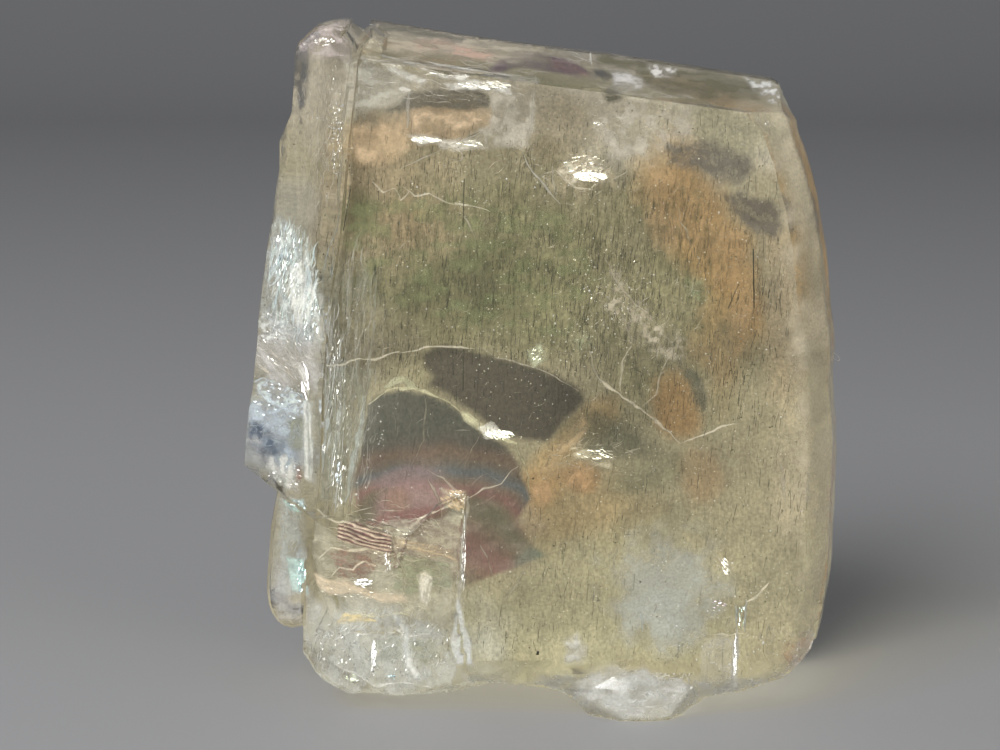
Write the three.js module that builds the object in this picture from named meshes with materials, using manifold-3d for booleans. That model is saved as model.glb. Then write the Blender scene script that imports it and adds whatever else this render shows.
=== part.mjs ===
// Sanidine crystal: one clear, champagne-coloured feldspar fragment, standing on its broken base.
// Millimetres, +Z up. The broad cleavage face looks towards -Y, and the origin lies on the
// surface that the crystal stands on, under the middle of its bounding box.
//
// The crystal starts as a block, and each natural surface cuts it: a broad front cleavage, a sloping
// top cleavage, a rounded growth face on the right, a rough base, and a ledged and scooped back.
// The slabs that step back along its left side are joined to it. Then the chips are taken off.
import * as THREE from "three";
import { mergeVertices } from "three/addons/utils/BufferGeometryUtils.js";
import Module from "manifold-3d";

const wasm = await Module();
wasm.setup();

// Driving dimensions.
const FRONT_Y = -3.5; // the broad front cleavage
const FRONT_TURN = 0.02; // how far it turns back towards the right, per millimetre
const BACK_Y = 3.6; // the back, before its ledges and hollows
const TOP = { z: 19.8, x: -5, fall: 0.14, rise: 0.1 }; // height at x, fall to the right, rise to the back
const SLAB_Y = -1.9; // the front of the slab that steps back on the left
const SLAB_BACK_Y = 3.1; // and its back
const NUB_Z = 20.42; // the rounded crown of that slab
const PLATE_STEP = 0.35; // how far the front plate stands proud of the strip on its left
const CORNER_DEPTH = 0.45; // how deep the chipped corner low on the left is
// The thin ledges above that corner: where they lie, how high each is, and how they lean.
const STAIR = { right: 4.25, width: 1.55, head: 5.95, foot: 4.75, rise: 0.2, count: 5, lean: 0.27 };
const REACH = 12; // how far a cutting block runs past the surface it cuts

// The crystal's outlines. Each pair is a place along the outline and where the edge lies there.
const LEFT_EDGE = [ // height, x of the left edge of the front cleavage
  [0, -7.1], [3.0, -7.1], [4.8, -6.9], [7.2, -6.5], [10.2, -6.35], [12.5, -6.15],
  [13.9, -5.9], [15.4, -5.7], [16.5, -5.6], [19.3, -5.25], [21, -5.1],
];
const RIGHT_EDGE = [ // height, x of the widest line of the right growth face
  [0, 7.45], [1.3, 7.8], [1.9, 8.3], [2.7, 8.5], [4.3, 8.75], [7.0, 8.75], [8.5, 8.8],
  [10.1, 8.62], [11.0, 8.64], [12.2, 8.45], [13.9, 8.3], [15.4, 8.0], [16.6, 7.6],
  [17.5, 7.25], [21, 6.9],
];
const BASE_EDGE = [ // x, height of the lower edge of the front
  [-9, 3.4], [-7.1, 2.1], [-6.8, 1.35], [-6.2, 0.85], [-5.6, 0.6], [-4.9, 0.7], [-4.3, 0.6],
  [-3.6, 0.75], [-2.7, 0.95], [-1.8, 1.05], [-0.4, 1.0], [0.4, 0.85], [0.95, 0.55],
  [1.4, 0.25], [2.0, -0.1], [4.0, -0.1], [4.25, 0.3], [4.6, 0.6], [5.5, 0.65], [6.4, 0.9],
  [7.1, 1.2], [7.6, 1.35], [7.9, 1.8], [8.2, 2.6], [9.5, 4.0],
];
const SLAB_EDGE = [ // height, x of the left outline of the slab that steps back
  [4, -9.0], [7.35, -8.86], [8.3, -8.74], [9.8, -8.5], [11.3, -8.36], [12.5, -8.24],
  [13.8, -8.02], [15.1, -7.78], [16.3, -7.57], [17.0, -7.6], [17.35, -7.36], [17.7, -7.28],
  [18.6, -7.16], [19.3, -7.1], [21, -6.9],
];

// Rounded bumps and hollows, each with its middle and its two radii.
const LOBE = { at: [2.9, 0.3], radii: [1.9, 1.3], depth: 0.5 }; // on the front, at the base
const FEET = [ // under the base: the crystal stands on these low swells
  { at: [2.7, -2.5], radii: [2.0, 2.4], depth: 0.5 },
  { at: [-3.8, 0.4], radii: [4.0, 3.0], depth: 0.45 },
  { at: [4.4, 1.6], radii: [3.4, 2.4], depth: 0.5 },
];
const BACK_SHELLS = [ // shallow shells gone from the back: middle and radii of the ball that fits each
  { at: [-2.9, 10.3, 6.2], radii: [9.5, 7.6, 8.2] },
  { at: [2.6, 9.2, 9.9], radii: [8.2, 6.3, 5.2] },
  { at: [-1.4, 8.2, 19.6], radii: [9.6, 5.4, 5.0] },
  { at: [8.4, 8.6, 13.6], radii: [6.6, 6.5, 7.4] },
  { at: [-6.6, 8.4, 13.2], radii: [4.4, 5.4, 9.0] },
];
const BACK_FACES = [ // flat cleavage faces of the back: a point and the way the face looks
  { at: [0, BACK_Y, 10], facing: [0.03, 1, 0] },
  { at: [5.2, 3.0, 4.0], facing: [0.18, 1, -0.16] },
  { at: [-4.4, 3.0, 2.2], facing: [-0.1, 1, -0.3] },
  { at: [3.4, 3.3, 17.4], facing: [0.08, 1, 0.15] },
];
const EDGE_NICKS = [ // small bites out of the right edge and the top edge
  { at: [8.15, -2.7, 16.6], size: 0.42 },
  { at: [8.45, -2.5, 15.3], size: 0.34 },
  { at: [9.05, -2.2, 11.4], size: 0.4 },
  { at: [9.1, -2.1, 7.4], size: 0.36 },
  { at: [3.4, -3.65, 18.75], size: 0.38 },
  { at: [-0.3, 3.9, 19.9], size: 0.42 },
];

// ---- Small tools ------------------------------------------------------------------------------

const X = new THREE.Vector3(1, 0, 0);
const Y = new THREE.Vector3(0, 1, 0);
const Z = new THREE.Vector3(0, 0, 1);
const { clamp, lerp, mapLinear, smoothstep } = THREE.MathUtils;

/** Where an outline lies at a place along it. */
function along(pairs, place) {
  const next = pairs.findIndex((pair) => pair[0] > place);
  if (next === 0) return pairs[0][1];
  if (next < 0) return pairs.at(-1)[1];
  return mapLinear(place, pairs[next - 1][0], pairs[next][0], pairs[next - 1][1], pairs[next][1]);
}

/** Even steps from low to high. */
function steps(low, high, count) {
  return Array.from({ length: count + 1 }, (_, k) => lerp(low, high, k / count));
}

/** A fixed pseudo-random number from 0 to 1 for a point of a lattice. */
function lattice(i, j, seed) {
  const s = Math.sin(i * 127.1 + j * 311.7 + seed * 74.7) * 43758.5453;
  return s - Math.floor(s);
}

/** Smooth noise from -1 to 1, with bumps about one unit apart. */
function noise(x, y, seed) {
  const [i, j] = [Math.floor(x), Math.floor(y)];
  const [u, v] = [smoothstep(x - i, 0, 1), smoothstep(y - j, 0, 1)];
  const low = lerp(lattice(i, j, seed), lattice(i + 1, j, seed), u);
  const high = lerp(lattice(i, j + 1, seed), lattice(i + 1, j + 1, seed), u);
  return 2 * lerp(low, high, v) - 1;
}

/** Large swells with smaller ones on them. */
function swells(x, y, seed) {
  return noise(x, y, seed) + 0.5 * noise(2.1 * x, 2.1 * y, seed + 1);
}

/** Sharp crests between rounded hollows, as broken glass has. */
function crests(x, y, seed) {
  return 1 - 2 * Math.abs(noise(x, y, seed)) - Math.abs(noise(2.3 * x, 2.3 * y, seed + 1));
}

/** The height of a rounded bump at a point: its depth in the middle, and 0 from its rim outwards. */
function bump(u, v, { at, radii, depth }) {
  const away = ((u - at[0]) / radii[0]) ** 2 + ((v - at[1]) / radii[1]) ** 2;
  return depth * Math.max(0, 1 - away);
}

/** A closed geometry as a manifold-3d solid. */
function solid(geometry) {
  const bare = geometry.clone();
  bare.deleteAttribute("normal");
  bare.deleteAttribute("uv");
  const merged = mergeVertices(bare, 1e-5);
  const vertProperties = new Float32Array(merged.attributes.position.array);
  const triVerts = new Uint32Array(merged.index.array);
  return new wasm.Manifold(new wasm.Mesh({ numProp: 3, vertProperties, triVerts }));
}

/** A manifold-3d solid as a geometry with flat faces. */
function geometryOf(made) {
  const { vertProperties, triVerts } = made.getMesh();
  const geometry = new THREE.BufferGeometry();
  geometry.setAttribute("position", new THREE.BufferAttribute(vertProperties, 3));
  geometry.setIndex(new THREE.BufferAttribute(triVerts, 1));
  const flat = geometry.toNonIndexed();
  flat.computeVertexNormals();
  return flat;
}

const join = (solids) => solids.reduce((sum, next) => sum.add(next));
const cut = (from, solids) => solids.reduce((left, next) => left.subtract(next), from);

/** The triangles of a sheet of across by down points, and those of the same sheet further out. */
function sheetTriangles(across, down) {
  const count = across * down;
  const index = [];
  for (let j = 0; j + 1 < down; j += 1) {
    for (let i = 0; i + 1 < across; i += 1) {
      const a = j * across + i;
      const [b, c, d] = [a + 1, a + 1 + across, a + across];
      index.push(a, d, c, a, c, b);
      index.push(a + count, b + count, c + count, a + count, c + count, d + count);
    }
  }
  return index;
}

/** The points around a sheet's rim, in order. */
function rimOf(across, down) {
  const last = across * (down - 1);
  const lowSide = steps(0, across - 1, across - 1);
  const rightSide = steps(1, down - 1, down - 2).map((j) => j * across + across - 1);
  const highSide = lowSide.slice(0, -1).reverse().map((i) => last + i);
  const leftSide = steps(down - 2, 1, down - 3).map((j) => j * across);
  return [...lowSide, ...rightSide, ...highSide, ...leftSide].map(Math.round);
}

/**
 * A block that cuts. One side is the surface place(u, v), the block runs REACH beyond it along
 * outward, and its other sides are straight.
 */
function cuttingBlock(uSteps, vSteps, place, outward) {
  const near = vSteps.flatMap((v) => uSteps.map((u) => place(u, v)));
  const beyond = near.map((p) => p.clone().addScaledVector(outward, REACH));
  const across = uSteps.length;
  const count = near.length;
  const index = sheetTriangles(across, vSteps.length);
  const rim = rimOf(across, vSteps.length);
  rim.forEach((a, k) => {
    const b = rim[(k + 1) % rim.length];
    index.push(a, b, b + count, a, b + count, a + count);
  });
  const turn = near[1].clone().sub(near[0]).cross(near[across].clone().sub(near[0]));
  if (turn.dot(outward) < 0) index.reverse();
  const geometry = new THREE.BufferGeometry();
  const places = [...near, ...beyond].flatMap((p) => p.toArray());
  geometry.setAttribute("position", new THREE.Float32BufferAttribute(places, 3));
  geometry.setIndex(index);
  return solid(geometry);
}

/** A box from its lowest to its highest corner. */
function box([x0, y0, z0], [x1, y1, z1]) {
  const geometry = new THREE.BoxGeometry(x1 - x0, y1 - y0, z1 - z0);
  return solid(geometry.translate((x0 + x1) / 2, (y0 + y1) / 2, (z0 + z1) / 2));
}

/** A block that takes off everything beyond a flat plane, through a point and facing outward. */
function flatCut(point, outward) {
  const size = 4 * REACH;
  const geometry = new THREE.BoxGeometry(size, size, size).translate(0, 0, size / 2);
  const turn = new THREE.Quaternion().setFromUnitVectors(Z, new THREE.Vector3(...outward).normalize());
  return solid(geometry.applyQuaternion(turn).translate(...point));
}

/** A ball, stretched along the axes, that leaves a rounded hollow. */
function ball({ at, radii }) {
  return solid(new THREE.IcosahedronGeometry(1, 9).scale(...radii).translate(...at));
}

/** A small lump with flat sides that leaves a nick. */
function lump({ at, size }) {
  const geometry = new THREE.IcosahedronGeometry(size, 0).rotateX(at[2]).rotateZ(at[0]);
  return solid(geometry.scale(1, 1, 1.5).translate(...at));
}

// ---- The natural surfaces of the main block ---------------------------------------------------

/** y of the front: a nearly flat cleavage that rounds under at the base, with a lobe there. */
function frontY(x, z) {
  const overRim = z - along(BASE_EDGE, x) - 0.75;
  const under = 0.8 * clamp(-overRim, 0, 2);
  const broken = overRim < 0 ? 0.14 * crests(0.9 * x, 1.1 * z, 7) : 0;
  const gentle = 0.035 * swells(0.28 * x, 0.2 * z, 3);
  return FRONT_Y + FRONT_TURN * (x + 7) + under + broken + gentle - bump(x, z, LOBE);
}

function frontBlock() {
  const place = (x, z) => new THREE.Vector3(x, frontY(x, z), z);
  const heights = [...steps(-0.6, 3.2, 9), ...steps(4.4, 21, 10)];
  return cuttingBlock(steps(-9.6, 9.6, 26), heights, place, Y.clone().negate());
}

/** The back: flat cleavage faces, shells of glassy fracture, and ledges where thin sheets came off. */
function backBlocks() {
  return [
    ...BACK_FACES.map(({ at, facing }) => flatCut(at, facing)),
    ...BACK_SHELLS.map(ball),
    solid(new THREE.BoxGeometry(5, 9, 9).rotateY(0.03).translate(-6.1, BACK_Y + 4.16, 14.6)),
    solid(new THREE.BoxGeometry(9, 9, 9).rotateY(0.35).translate(8.4, BACK_Y + 4.0, 17.9)),
    solid(new THREE.BoxGeometry(12, 9, 7).rotateY(-0.12).translate(-2.2, BACK_Y + 4.0, -0.2)),
  ];
}

/** x of the right growth face: it turns from the front into the side over two rounded facets. */
function rightX(y, z) {
  const front = 0.35 * clamp((-1.0 - y) / 1.4, 0, 1) + clamp(-2.4 - y, 0, 2);
  const back = 0.8 * clamp((y - 2.2) / 1.6, 0, 1) ** 1.5;
  const worn = 0.05 * swells(0.9 * y, 0.6 * z, 41);
  return along(RIGHT_EDGE, z) - front - back + worn;
}

function rightBlock() {
  const place = (y, z) => new THREE.Vector3(rightX(y, z), y, z);
  const across = [-4.6, -3.4, -2.9, -2.4, -1.7, -1.0, 0.6, 2.2, 2.8, 3.4, 4.6];
  return cuttingBlock(across, steps(-0.6, 21, 34), place, X);
}

/** z of the base: the front's lower edge, then rough ground that reaches down at the feet. */
function baseZ(x, y) {
  const sides = 0.5 * Math.max(0, Math.abs(x - 0.4) - 5.4);
  const rear = 0.5 * clamp((y - 2.3) / 1.2, 0, 1);
  const rough = 0.16 * swells(0.55 * x, 0.7 * y, 61) + 0.12 * crests(0.8 * x, 0.9 * y, 64);
  const inner = 0.42 + sides + rear + rough;
  const feet = FEET.reduce((sum, foot) => sum + bump(x, y, foot), 0);
  return lerp(along(BASE_EDGE, x), inner, smoothstep(y - FRONT_Y, 0.5, 3.3)) - feet;
}

function baseBlock() {
  const place = (x, y) => new THREE.Vector3(x, y, baseZ(x, y));
  return cuttingBlock(steps(-9.6, 9.6, 40), steps(-4.5, 4.5, 14), place, Z.clone().negate());
}

/** The sloping top cleavage: it falls to the right and rises to the back. */
function topBlock() {
  return flatCut([TOP.x, 0, TOP.z], [TOP.fall, -TOP.rise, 1]);
}

function leftBlock() {
  const place = (y, z) => new THREE.Vector3(along(LEFT_EDGE, z) + 0.04 * swells(y, 0.5 * z, 91), y, z);
  return cuttingBlock(steps(-4.6, 4.6, 3), steps(-0.6, 21, 22), place, X.clone().negate());
}

function mainBlock() {
  const sides = [frontBlock(), rightBlock(), baseBlock(), topBlock(), leftBlock()];
  return cut(box([-9.5, -4.4, 0], [9.5, 4.4, 20.9]), [...sides, ...backBlocks()]);
}

// ---- The slabs that step back along the left side ---------------------------------------------

/** The front of the left slab: fine upright ribs, and a turn towards the back at its left edge. */
function slabFront(x, z) {
  const leant = x - 0.1 * z;
  const ribs = 0.05 * Math.sin(5.2 * leant) + 0.06 * noise(3.1 * leant, 0.25 * z, 101);
  const turn = 0.1 * (-5.2 - x) + 0.45 * smoothstep(-8.0 - x + 0.1 * (z - 12), 0, 0.9);
  return new THREE.Vector3(x, SLAB_Y + turn + ribs, z);
}

/** The left side of the left slab, worn and rounded towards the back. */
function slabSide(y, z) {
  const round = 0.28 * clamp((y - 1.6) / 1.4, 0, 1) ** 2;
  return new THREE.Vector3(along(SLAB_EDGE, z) + round + 0.05 * swells(0.9 * y, 0.8 * z, 104), y, z);
}

/** The crown of the left slab: a rounded nub with a rough skin. */
function slabCrown(x, y) {
  const round = 0.28 * (x + 5.9) ** 2 + 0.06 * (y + 0.4) ** 2;
  const shoulder = 0.5 * clamp(-6.5 - x, 0, 2);
  return new THREE.Vector3(x, y, NUB_Z - round - shoulder + 0.05 * crests(1.6 * x, 1.2 * y, 107));
}

function leftSlab() {
  const down = steps(5, 21, 20);
  return cut(box([-9.3, -3, 5.2], [-4.6, 3.9, 20.8]), [
    cuttingBlock(steps(-9.6, -4.4, 18), down, slabFront, Y.clone().negate()),
    cuttingBlock(steps(-3.4, 4.2, 5), down, slabSide, X.clone().negate()),
    cuttingBlock(steps(-9.6, -4.4, 12), steps(-3.4, 4.2, 6), slabCrown, Z),
    flatCut([0, SLAB_BACK_Y, 12], [-0.12, 1, 0.05]),
    flatCut([-7.85, 0, 6.35], [-0.62, -0.12, -0.78]), // the oblique break under it
    flatCut([-7.2, 0, 5.9], [-0.1, 0.1, -1]),
  ]);
}

/** The small slab low on the left, with a rounded foot. */
function lowSlab() {
  const outline = new THREE.Shape();
  outline.moveTo(-6.4, 7.4);
  outline.lineTo(-7.9, 6.7);
  outline.lineTo(-8.2, 5.2);
  outline.lineTo(-8.36, 3.6);
  outline.quadraticCurveTo(-8.45, 2.1, -7.6, 2.0);
  outline.lineTo(-6.8, 2.15);
  const rounded = { bevelThickness: 0.3, bevelSize: 0.12, bevelOffset: -0.12, bevelSegments: 2 };
  const geometry = new THREE.ExtrudeGeometry(outline, { depth: 2.6, curveSegments: 6, ...rounded });
  return solid(geometry.rotateX(Math.PI / 2).translate(0, 2.3, 0));
}

// ---- What has broken away ---------------------------------------------------------------------

/** The thin sheet gone from the left strip of the front. It runs out to nothing upwards. */
function frontStrip() {
  const geometry = new THREE.BoxGeometry(4, 2, 9).translate(-2, -1, 4.5);
  geometry.rotateX(0.042).rotateY(0.138);
  return solid(geometry.translate(-5.72, FRONT_Y + PLATE_STEP, 5.6));
}

/** The chipped corner: an upright wall on its right, and a floor of rounded ridges. */
function chippedCorner() {
  const outline = new THREE.Shape();
  outline.moveTo(-2.24, 7.0);
  outline.lineTo(-2.62, 3.8);
  outline.lineTo(-2.05, 0.6);
  outline.lineTo(-2.05, -1);
  outline.lineTo(-9, -1);
  outline.lineTo(-9, 6.2);
  outline.lineTo(-STAIR.right - STAIR.width, 6.2);
  outline.lineTo(-STAIR.right - STAIR.width, STAIR.foot);
  outline.lineTo(-STAIR.right, STAIR.foot);
  outline.lineTo(-3.9, 5.7);
  outline.lineTo(-3.1, 6.6);
  const prism = new THREE.ExtrudeGeometry(outline, { depth: 3, bevelEnabled: false });
  const place = (x, z) => {
    const away = Math.hypot(x + 2.4, z - 6.8);
    const ridges = 0.09 * Math.sin(3.1 * away + 0.8 * noise(0.8 * x, 0.8 * z, 121));
    const low = 0.08 * Math.max(0, 4 - z) + 0.07 * crests(0.8 * x, 0.7 * z, 124);
    return new THREE.Vector3(x, FRONT_Y + CORNER_DEPTH + 0.06 * (-2.4 - x) + ridges + low, z);
  };
  const floor = cuttingBlock(steps(-9.4, -1.6, 18), steps(-0.8, 7.4, 16), place, Y.clone().negate());
  return solid(prism.rotateX(Math.PI / 2).translate(0, -1.2, 0)).intersect(floor);
}

/** A stair of thin ledges at the top of the chipped corner, each deeper than the one above. */
function stair() {
  return Array.from({ length: STAIR.count }, (_, k) => {
    const top = STAIR.head - k * STAIR.rise;
    const depth = FRONT_Y + 0.12 + ((k + 1) / STAIR.count) * CORNER_DEPTH;
    const geometry = new THREE.BoxGeometry(STAIR.width, 2, 4).translate(-STAIR.width / 2, -1, -2);
    return solid(geometry.rotateY(STAIR.lean).translate(-STAIR.right, depth, top));
  }).map((step) => step.subtract(box([-9, -9, -9], [9, 9, STAIR.foot])));
}

/** The groove that runs over the top, between the block and the left slab. */
function notch() {
  const geometry = new THREE.BoxGeometry(0.6, 12, 0.6).rotateY(Math.PI / 4).rotateX(TOP.rise);
  return solid(geometry.translate(-5.34, 0, 20.15));
}

function chips() {
  return [
    frontStrip(),
    chippedCorner(),
    ...stair(),
    notch(),
    ball({ at: [-2.0, -4.4, 19.9], radii: [3.0, 1.5, 1.15] }), // a shell from the top front edge
    flatCut([6.95, 0, 18.12], [0.75, -0.12, 0.66]), // the top right corner, in two facets
    flatCut([6.3, -2.9, 17.75], [0.5, -0.75, 0.45]),
    flatCut([7.9, -2.65, 1.8], [0.7, -0.55, -0.45]), // the low right corner
    flatCut([7.6, 2.6, 2.2], [0.6, 0.45, -0.6]),
    ...EDGE_NICKS.map(lump),
  ];
}

// ---- The crystal ------------------------------------------------------------------------------

/** The crystal's geometry, with the origin on the ground under the middle of its bounding box. */
function crystal() {
  const grown = join([mainBlock(), leftSlab(), lowSlab()]);
  const geometry = geometryOf(cut(grown, chips()));
  geometry.computeBoundingBox();
  const { min, max } = geometry.boundingBox;
  return geometry.translate(-(min.x + max.x) / 2, -(min.y + max.y) / 2, -min.z);
}

const sanidine = new THREE.MeshStandardMaterial({
  color: 0xb9ae84,
  roughness: 0.12,
  metalness: 0,
  transparent: true,
  opacity: 0.45,
});
const mesh = new THREE.Mesh(crystal(), sanidine);
mesh.name = "sanidine_crystal";

const part = new THREE.Group();
part.add(mesh);
export default part;
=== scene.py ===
"""Sanidine crystal: the looks. Metres, +Z up, the broad front cleavage looks towards -Y."""
import math

import bmesh
import bpy
import numpy as np
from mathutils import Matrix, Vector
from mathutils.bvhtree import BVHTree


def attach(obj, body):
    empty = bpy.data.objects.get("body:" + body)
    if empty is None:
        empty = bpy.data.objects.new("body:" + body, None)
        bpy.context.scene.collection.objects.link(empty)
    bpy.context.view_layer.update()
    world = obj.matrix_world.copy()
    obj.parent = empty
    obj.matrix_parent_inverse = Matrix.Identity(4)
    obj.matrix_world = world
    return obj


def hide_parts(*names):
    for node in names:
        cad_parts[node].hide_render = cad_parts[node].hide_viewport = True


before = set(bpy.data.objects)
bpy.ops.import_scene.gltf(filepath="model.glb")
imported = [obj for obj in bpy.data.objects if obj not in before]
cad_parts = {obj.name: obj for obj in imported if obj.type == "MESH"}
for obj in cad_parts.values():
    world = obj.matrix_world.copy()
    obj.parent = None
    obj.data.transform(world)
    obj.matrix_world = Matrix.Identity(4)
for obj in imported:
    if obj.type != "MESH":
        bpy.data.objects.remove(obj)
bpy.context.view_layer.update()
MM = 0.001

# Camera, in millimetres and degrees.
LOOK_AT = (-1.23, 0.02, 9.77)
CAMERA_DISTANCE = 75.0
CAMERA_ELEVATION = 12.0
LENS = 90.0
SENSOR = 36.0

# Lamps and room: places and sizes in millimetres, watts, colours.
LAMP_AIM = (0, 0, 8)
KEY_PLACE = (-80.0, -110.0, 150.0)
KEY_SIZE, KEY_WATTS = 110, 0.385
FILL_PLACE = (120, -90, 70)
FILL_SIZE, FILL_WATTS = 90, 0.06
ROOM_COLOUR, ROOM_STRENGTH = (0.62, 0.64, 0.68, 1), 0.26
FLOOR_COLOUR, FLOOR_ROUGHNESS = (0.33, 0.33, 0.335, 1), 0.6

# The floor, in millimetres: where it starts, bends up and ends, and how far below the crystal it lies.
FLOOR_FRONT, FLOOR_BEND, BEND_RADIUS = -400, 160, 80
WALL_TOP, FLOOR_SIDE, FLOOR_DROP = 500, 500.0, 0.02

# The crystal.
INDEX = 1.52
FRONT_Y = -3.36  # mm, the front cleavage
FINEST_EDGE = 0.3  # mm, the longest edge left after the faces are divided
SHARP_ANGLE = 26.0  # degrees between faces, past which an edge stays crisp
MERGED = 2e-7  # metres, within which points of the solid's mesh are one
HALVINGS, SMOOTHINGS = 8, 6  # how many times, at most and always
CREST_HEIGHT, GRIT_HEIGHT, RIB_HEIGHT = 0.035, 0.008, 0.03  # mm, on broken faces and on the left slab
BASE_KEPT = 0.02  # mm, below which the base stays as flat as the solid's

# Inside the crystal, in millimetres.
MAP_X, MAP_Z, MAP_STEP = (-9.6, 9.7), (-1.2, 22.1), 0.1  # where the way in through the skin is measured
MISSED = 40  # the way in where a line of sight misses the crystal
# How far inside the skin things stay.
LINE_MARGIN, FILM_MARGIN, SPECK_MARGIN, FLECK_MARGIN, NEEDLE_MARGIN = 0.04, 0.05, 0.06, 0.2, 0.35
HAZE_X, HAZE_Z, HAZE_STEP = (-9, 9.05), (0.05, 20.45), 0.095
HAZE_BLUR = 6  # how many points the smoothing reaches
HAZE_INSET, HAZE_LEAST_INSET = 0.45, 0.2  # from the smoothed back and from the back itself
HAZE_COVER = 0.97
FILM_STEPS, FILM_CELLS = (0.03, 0.09), 9000  # a film's finest and coarsest step, and the cells it aims at
LEAST_COVER = 0.02  # where a film covers less, it has no faces
CRACK_STEP, CRACK_COVER = 0.06, (0.15, 1, 1, 0.15)  # along a crack, and across it
LINE_POINTS, LINE_COVER = 7, (0.3, 1, 0.3)  # along a hairline, and across it
# Where needles and flecks may lie, how many are tried, and where most are: middle, radii, lean.
NEEDLE_X, NEEDLE_Z, NEEDLE_COUNT = (-6.4, 8.2), (0.8, 17.8), 34000
FLECK_X, FLECK_Z, FLECK_COUNT = (-8.6, 8.7), (0.3, 18.6), 9000
NEEDLE_CROWD = (0.06, 13.11), (5.45, 3.07), -8
FLECK_CROWD = (0.49, 12.67), (7.46, 5.55), -8
NEEDLE_COLOUR = (0.014, 0.017, 0.005)
STRIA_STEP, RIDGE = 0.022, 0.115  # from point to point, and from one striation to the next
DARKEST, PALEST = 0.003, 0.92  # what any painted colour stays between

# Numbers without a pattern of their own, which make the lattice's random ones.
SCRAMBLE_WAY, SCRAMBLE_SEED, SCRAMBLE = np.array([127.1, 311.7, 74.7]), 13.37, 43758.5453
# Where each random pattern starts.
BACK_SEED, CREST_SEED, GRIT_SEED, RIB_SEED = 11, 21, 25, 31
HAZE_SEED, MOTTLE_SEED, SPECKLE_SEED, UPRIGHT_SEED, RING_SEED = 61, 75, 77, 78, 91
NEEDLE_SEED, CROWD_SEED, HAIRLINE_SEED, FLASH_SEED, SPECK_SEED, FLECK_SEED = 5, 12, 17, 31, 9, 23
STRIA_SEED, STRIA_EDGE_SEED = 600, 601
# Each crack, film, tint or window adds its own place in its list to these.
CRACK_WANDER, CRACK_SWELL, CRACK_BREAKS = 200, 300, 400
FILM_RELIEF, FILM_STREAKS, FILM_OUTLINE = 500, 520, 540
TINT_EDGE, WINDOW_EDGE = 40, 80

# Colours as they show from outside, 0 to 255.
CREAM, WHITE, COOL, YELLOW = (214, 206, 180), (236, 236, 226), (206, 218, 222), (226, 222, 178)
BODY = (158, 150, 120)
# Painted shade: the upper window's dark stands in for a dark backdrop seen through the clear crystal.
UPPER_WINDOW_PAINTED_SHADE = (88, 83, 69)
STRIA_DARK, STRIA_PALE = (112, 78, 70), (222, 204, 170)
FLECK_DARK, FLECK_PALE = (84, 82, 56), (206, 200, 168)


# ---- Numbers ----------------------------------------------------------------------------------

def fade(value, low, high):
    """0 below low, 1 above high, and a smooth S between: t*t*(3 - 2t)."""
    t = np.clip((value - low) / (high - low), 0, 1)
    return t * t * (3 - 2 * t)


def lattice(cell, seed):
    """A fixed pseudo-random number from 0 to 1 for each cell (N, 3) of a lattice."""
    s = np.sin(cell @ SCRAMBLE_WAY + seed * SCRAMBLE_SEED) * SCRAMBLE
    return s - np.floor(s)


def noise(points, size, seed):
    """Value noise from -1 to 1: the lattice's numbers, blended with an S over each cell."""
    p = points / size
    cell = np.floor(p)
    u = fade(p - cell, 0, 1)
    total = np.zeros(len(p))
    for corner in np.ndindex(2, 2, 2):
        c = np.array(corner)
        weight = np.prod(np.where(c == 1, u, 1 - u), axis=1)
        total += weight * lattice(cell + c, seed)
    return 2 * total - 1


def layered(points, size, seed, layers=3):
    """Noise with finer noise on it: each layer has half the size and half the height."""
    return sum(noise(points, size / 2**k, seed + k) / 2**k for k in range(layers))


def crests(points, size, seed):
    """Sharp crests between rounded hollows: 1 - 2|noise| - |finer noise|."""
    return 1 - 2 * np.abs(noise(points, size, seed)) - np.abs(noise(points, size / 2.3, seed + 1))


def flat_points(x, z):
    """Places (x, z) as a list of points with nothing along the third way, for the noises."""
    return np.stack([x, z, 0 * x], -1).reshape(-1, 3)


def swells(x, z, size, seed):
    """Layered noise at places (x, z), in the shape of their array."""
    return layered(flat_points(x, z), size, seed).reshape(x.shape)


def blurred(values, reach):
    """A running mean over 2*reach + 1 cells each way, that passes over the missing ones.

    It is the difference of two running sums, of the values and of their number, down and then across.
    """
    window = 2 * reach + 1
    sums = np.stack([~np.isnan(values), np.nan_to_num(values)])
    for _ in ("down", "across"):
        run = np.cumsum(np.pad(sums, [(0, 0), (reach + 1, reach), (0, 0)]), axis=1)
        sums = (run[:, window:] - run[:, :-window]).swapaxes(1, 2)
    count, total = sums
    return np.where(np.isnan(values), np.nan, total / np.maximum(count, 1e-9))


# ---- Mesh helpers -----------------------------------------------------------------------------

def link(name, mesh):
    """A finished piece at the origin, riding on the crystal's one body."""
    piece = bpy.data.objects.new(name, mesh)
    bpy.context.scene.collection.objects.link(piece)
    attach(piece, "root")
    return piece


def paint(mesh, name, colours):
    """Keeps a colour at every point of a mesh, for its material to read."""
    attribute = mesh.color_attributes.new(name, "FLOAT_COLOR", "POINT")
    opaque = np.concatenate([colours, np.ones((len(colours), 1))], axis=1)
    attribute.data.foreach_set("color", opaque.astype(np.float32).ravel())


def store(mesh, name, values):
    """Keeps a number from 0 to 1 at every point of a mesh, for its material to read."""
    attribute = mesh.attributes.new(name, "FLOAT", "POINT")
    attribute.data.foreach_set("value", np.asarray(values, np.float32))


def coordinates(mesh):
    """A mesh's points in millimetres."""
    points = np.empty(len(mesh.vertices) * 3)
    mesh.vertices.foreach_get("co", points)
    return points.reshape(-1, 3) / MM


def normals(mesh):
    """The way out at each of a mesh's points."""
    values = np.empty(len(mesh.vertices) * 3, np.float32)
    mesh.vertex_normals.foreach_get("vector", values)
    return values.reshape(-1, 3).astype(float)


# ---- The crystal's skin -----------------------------------------------------------------------

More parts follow.
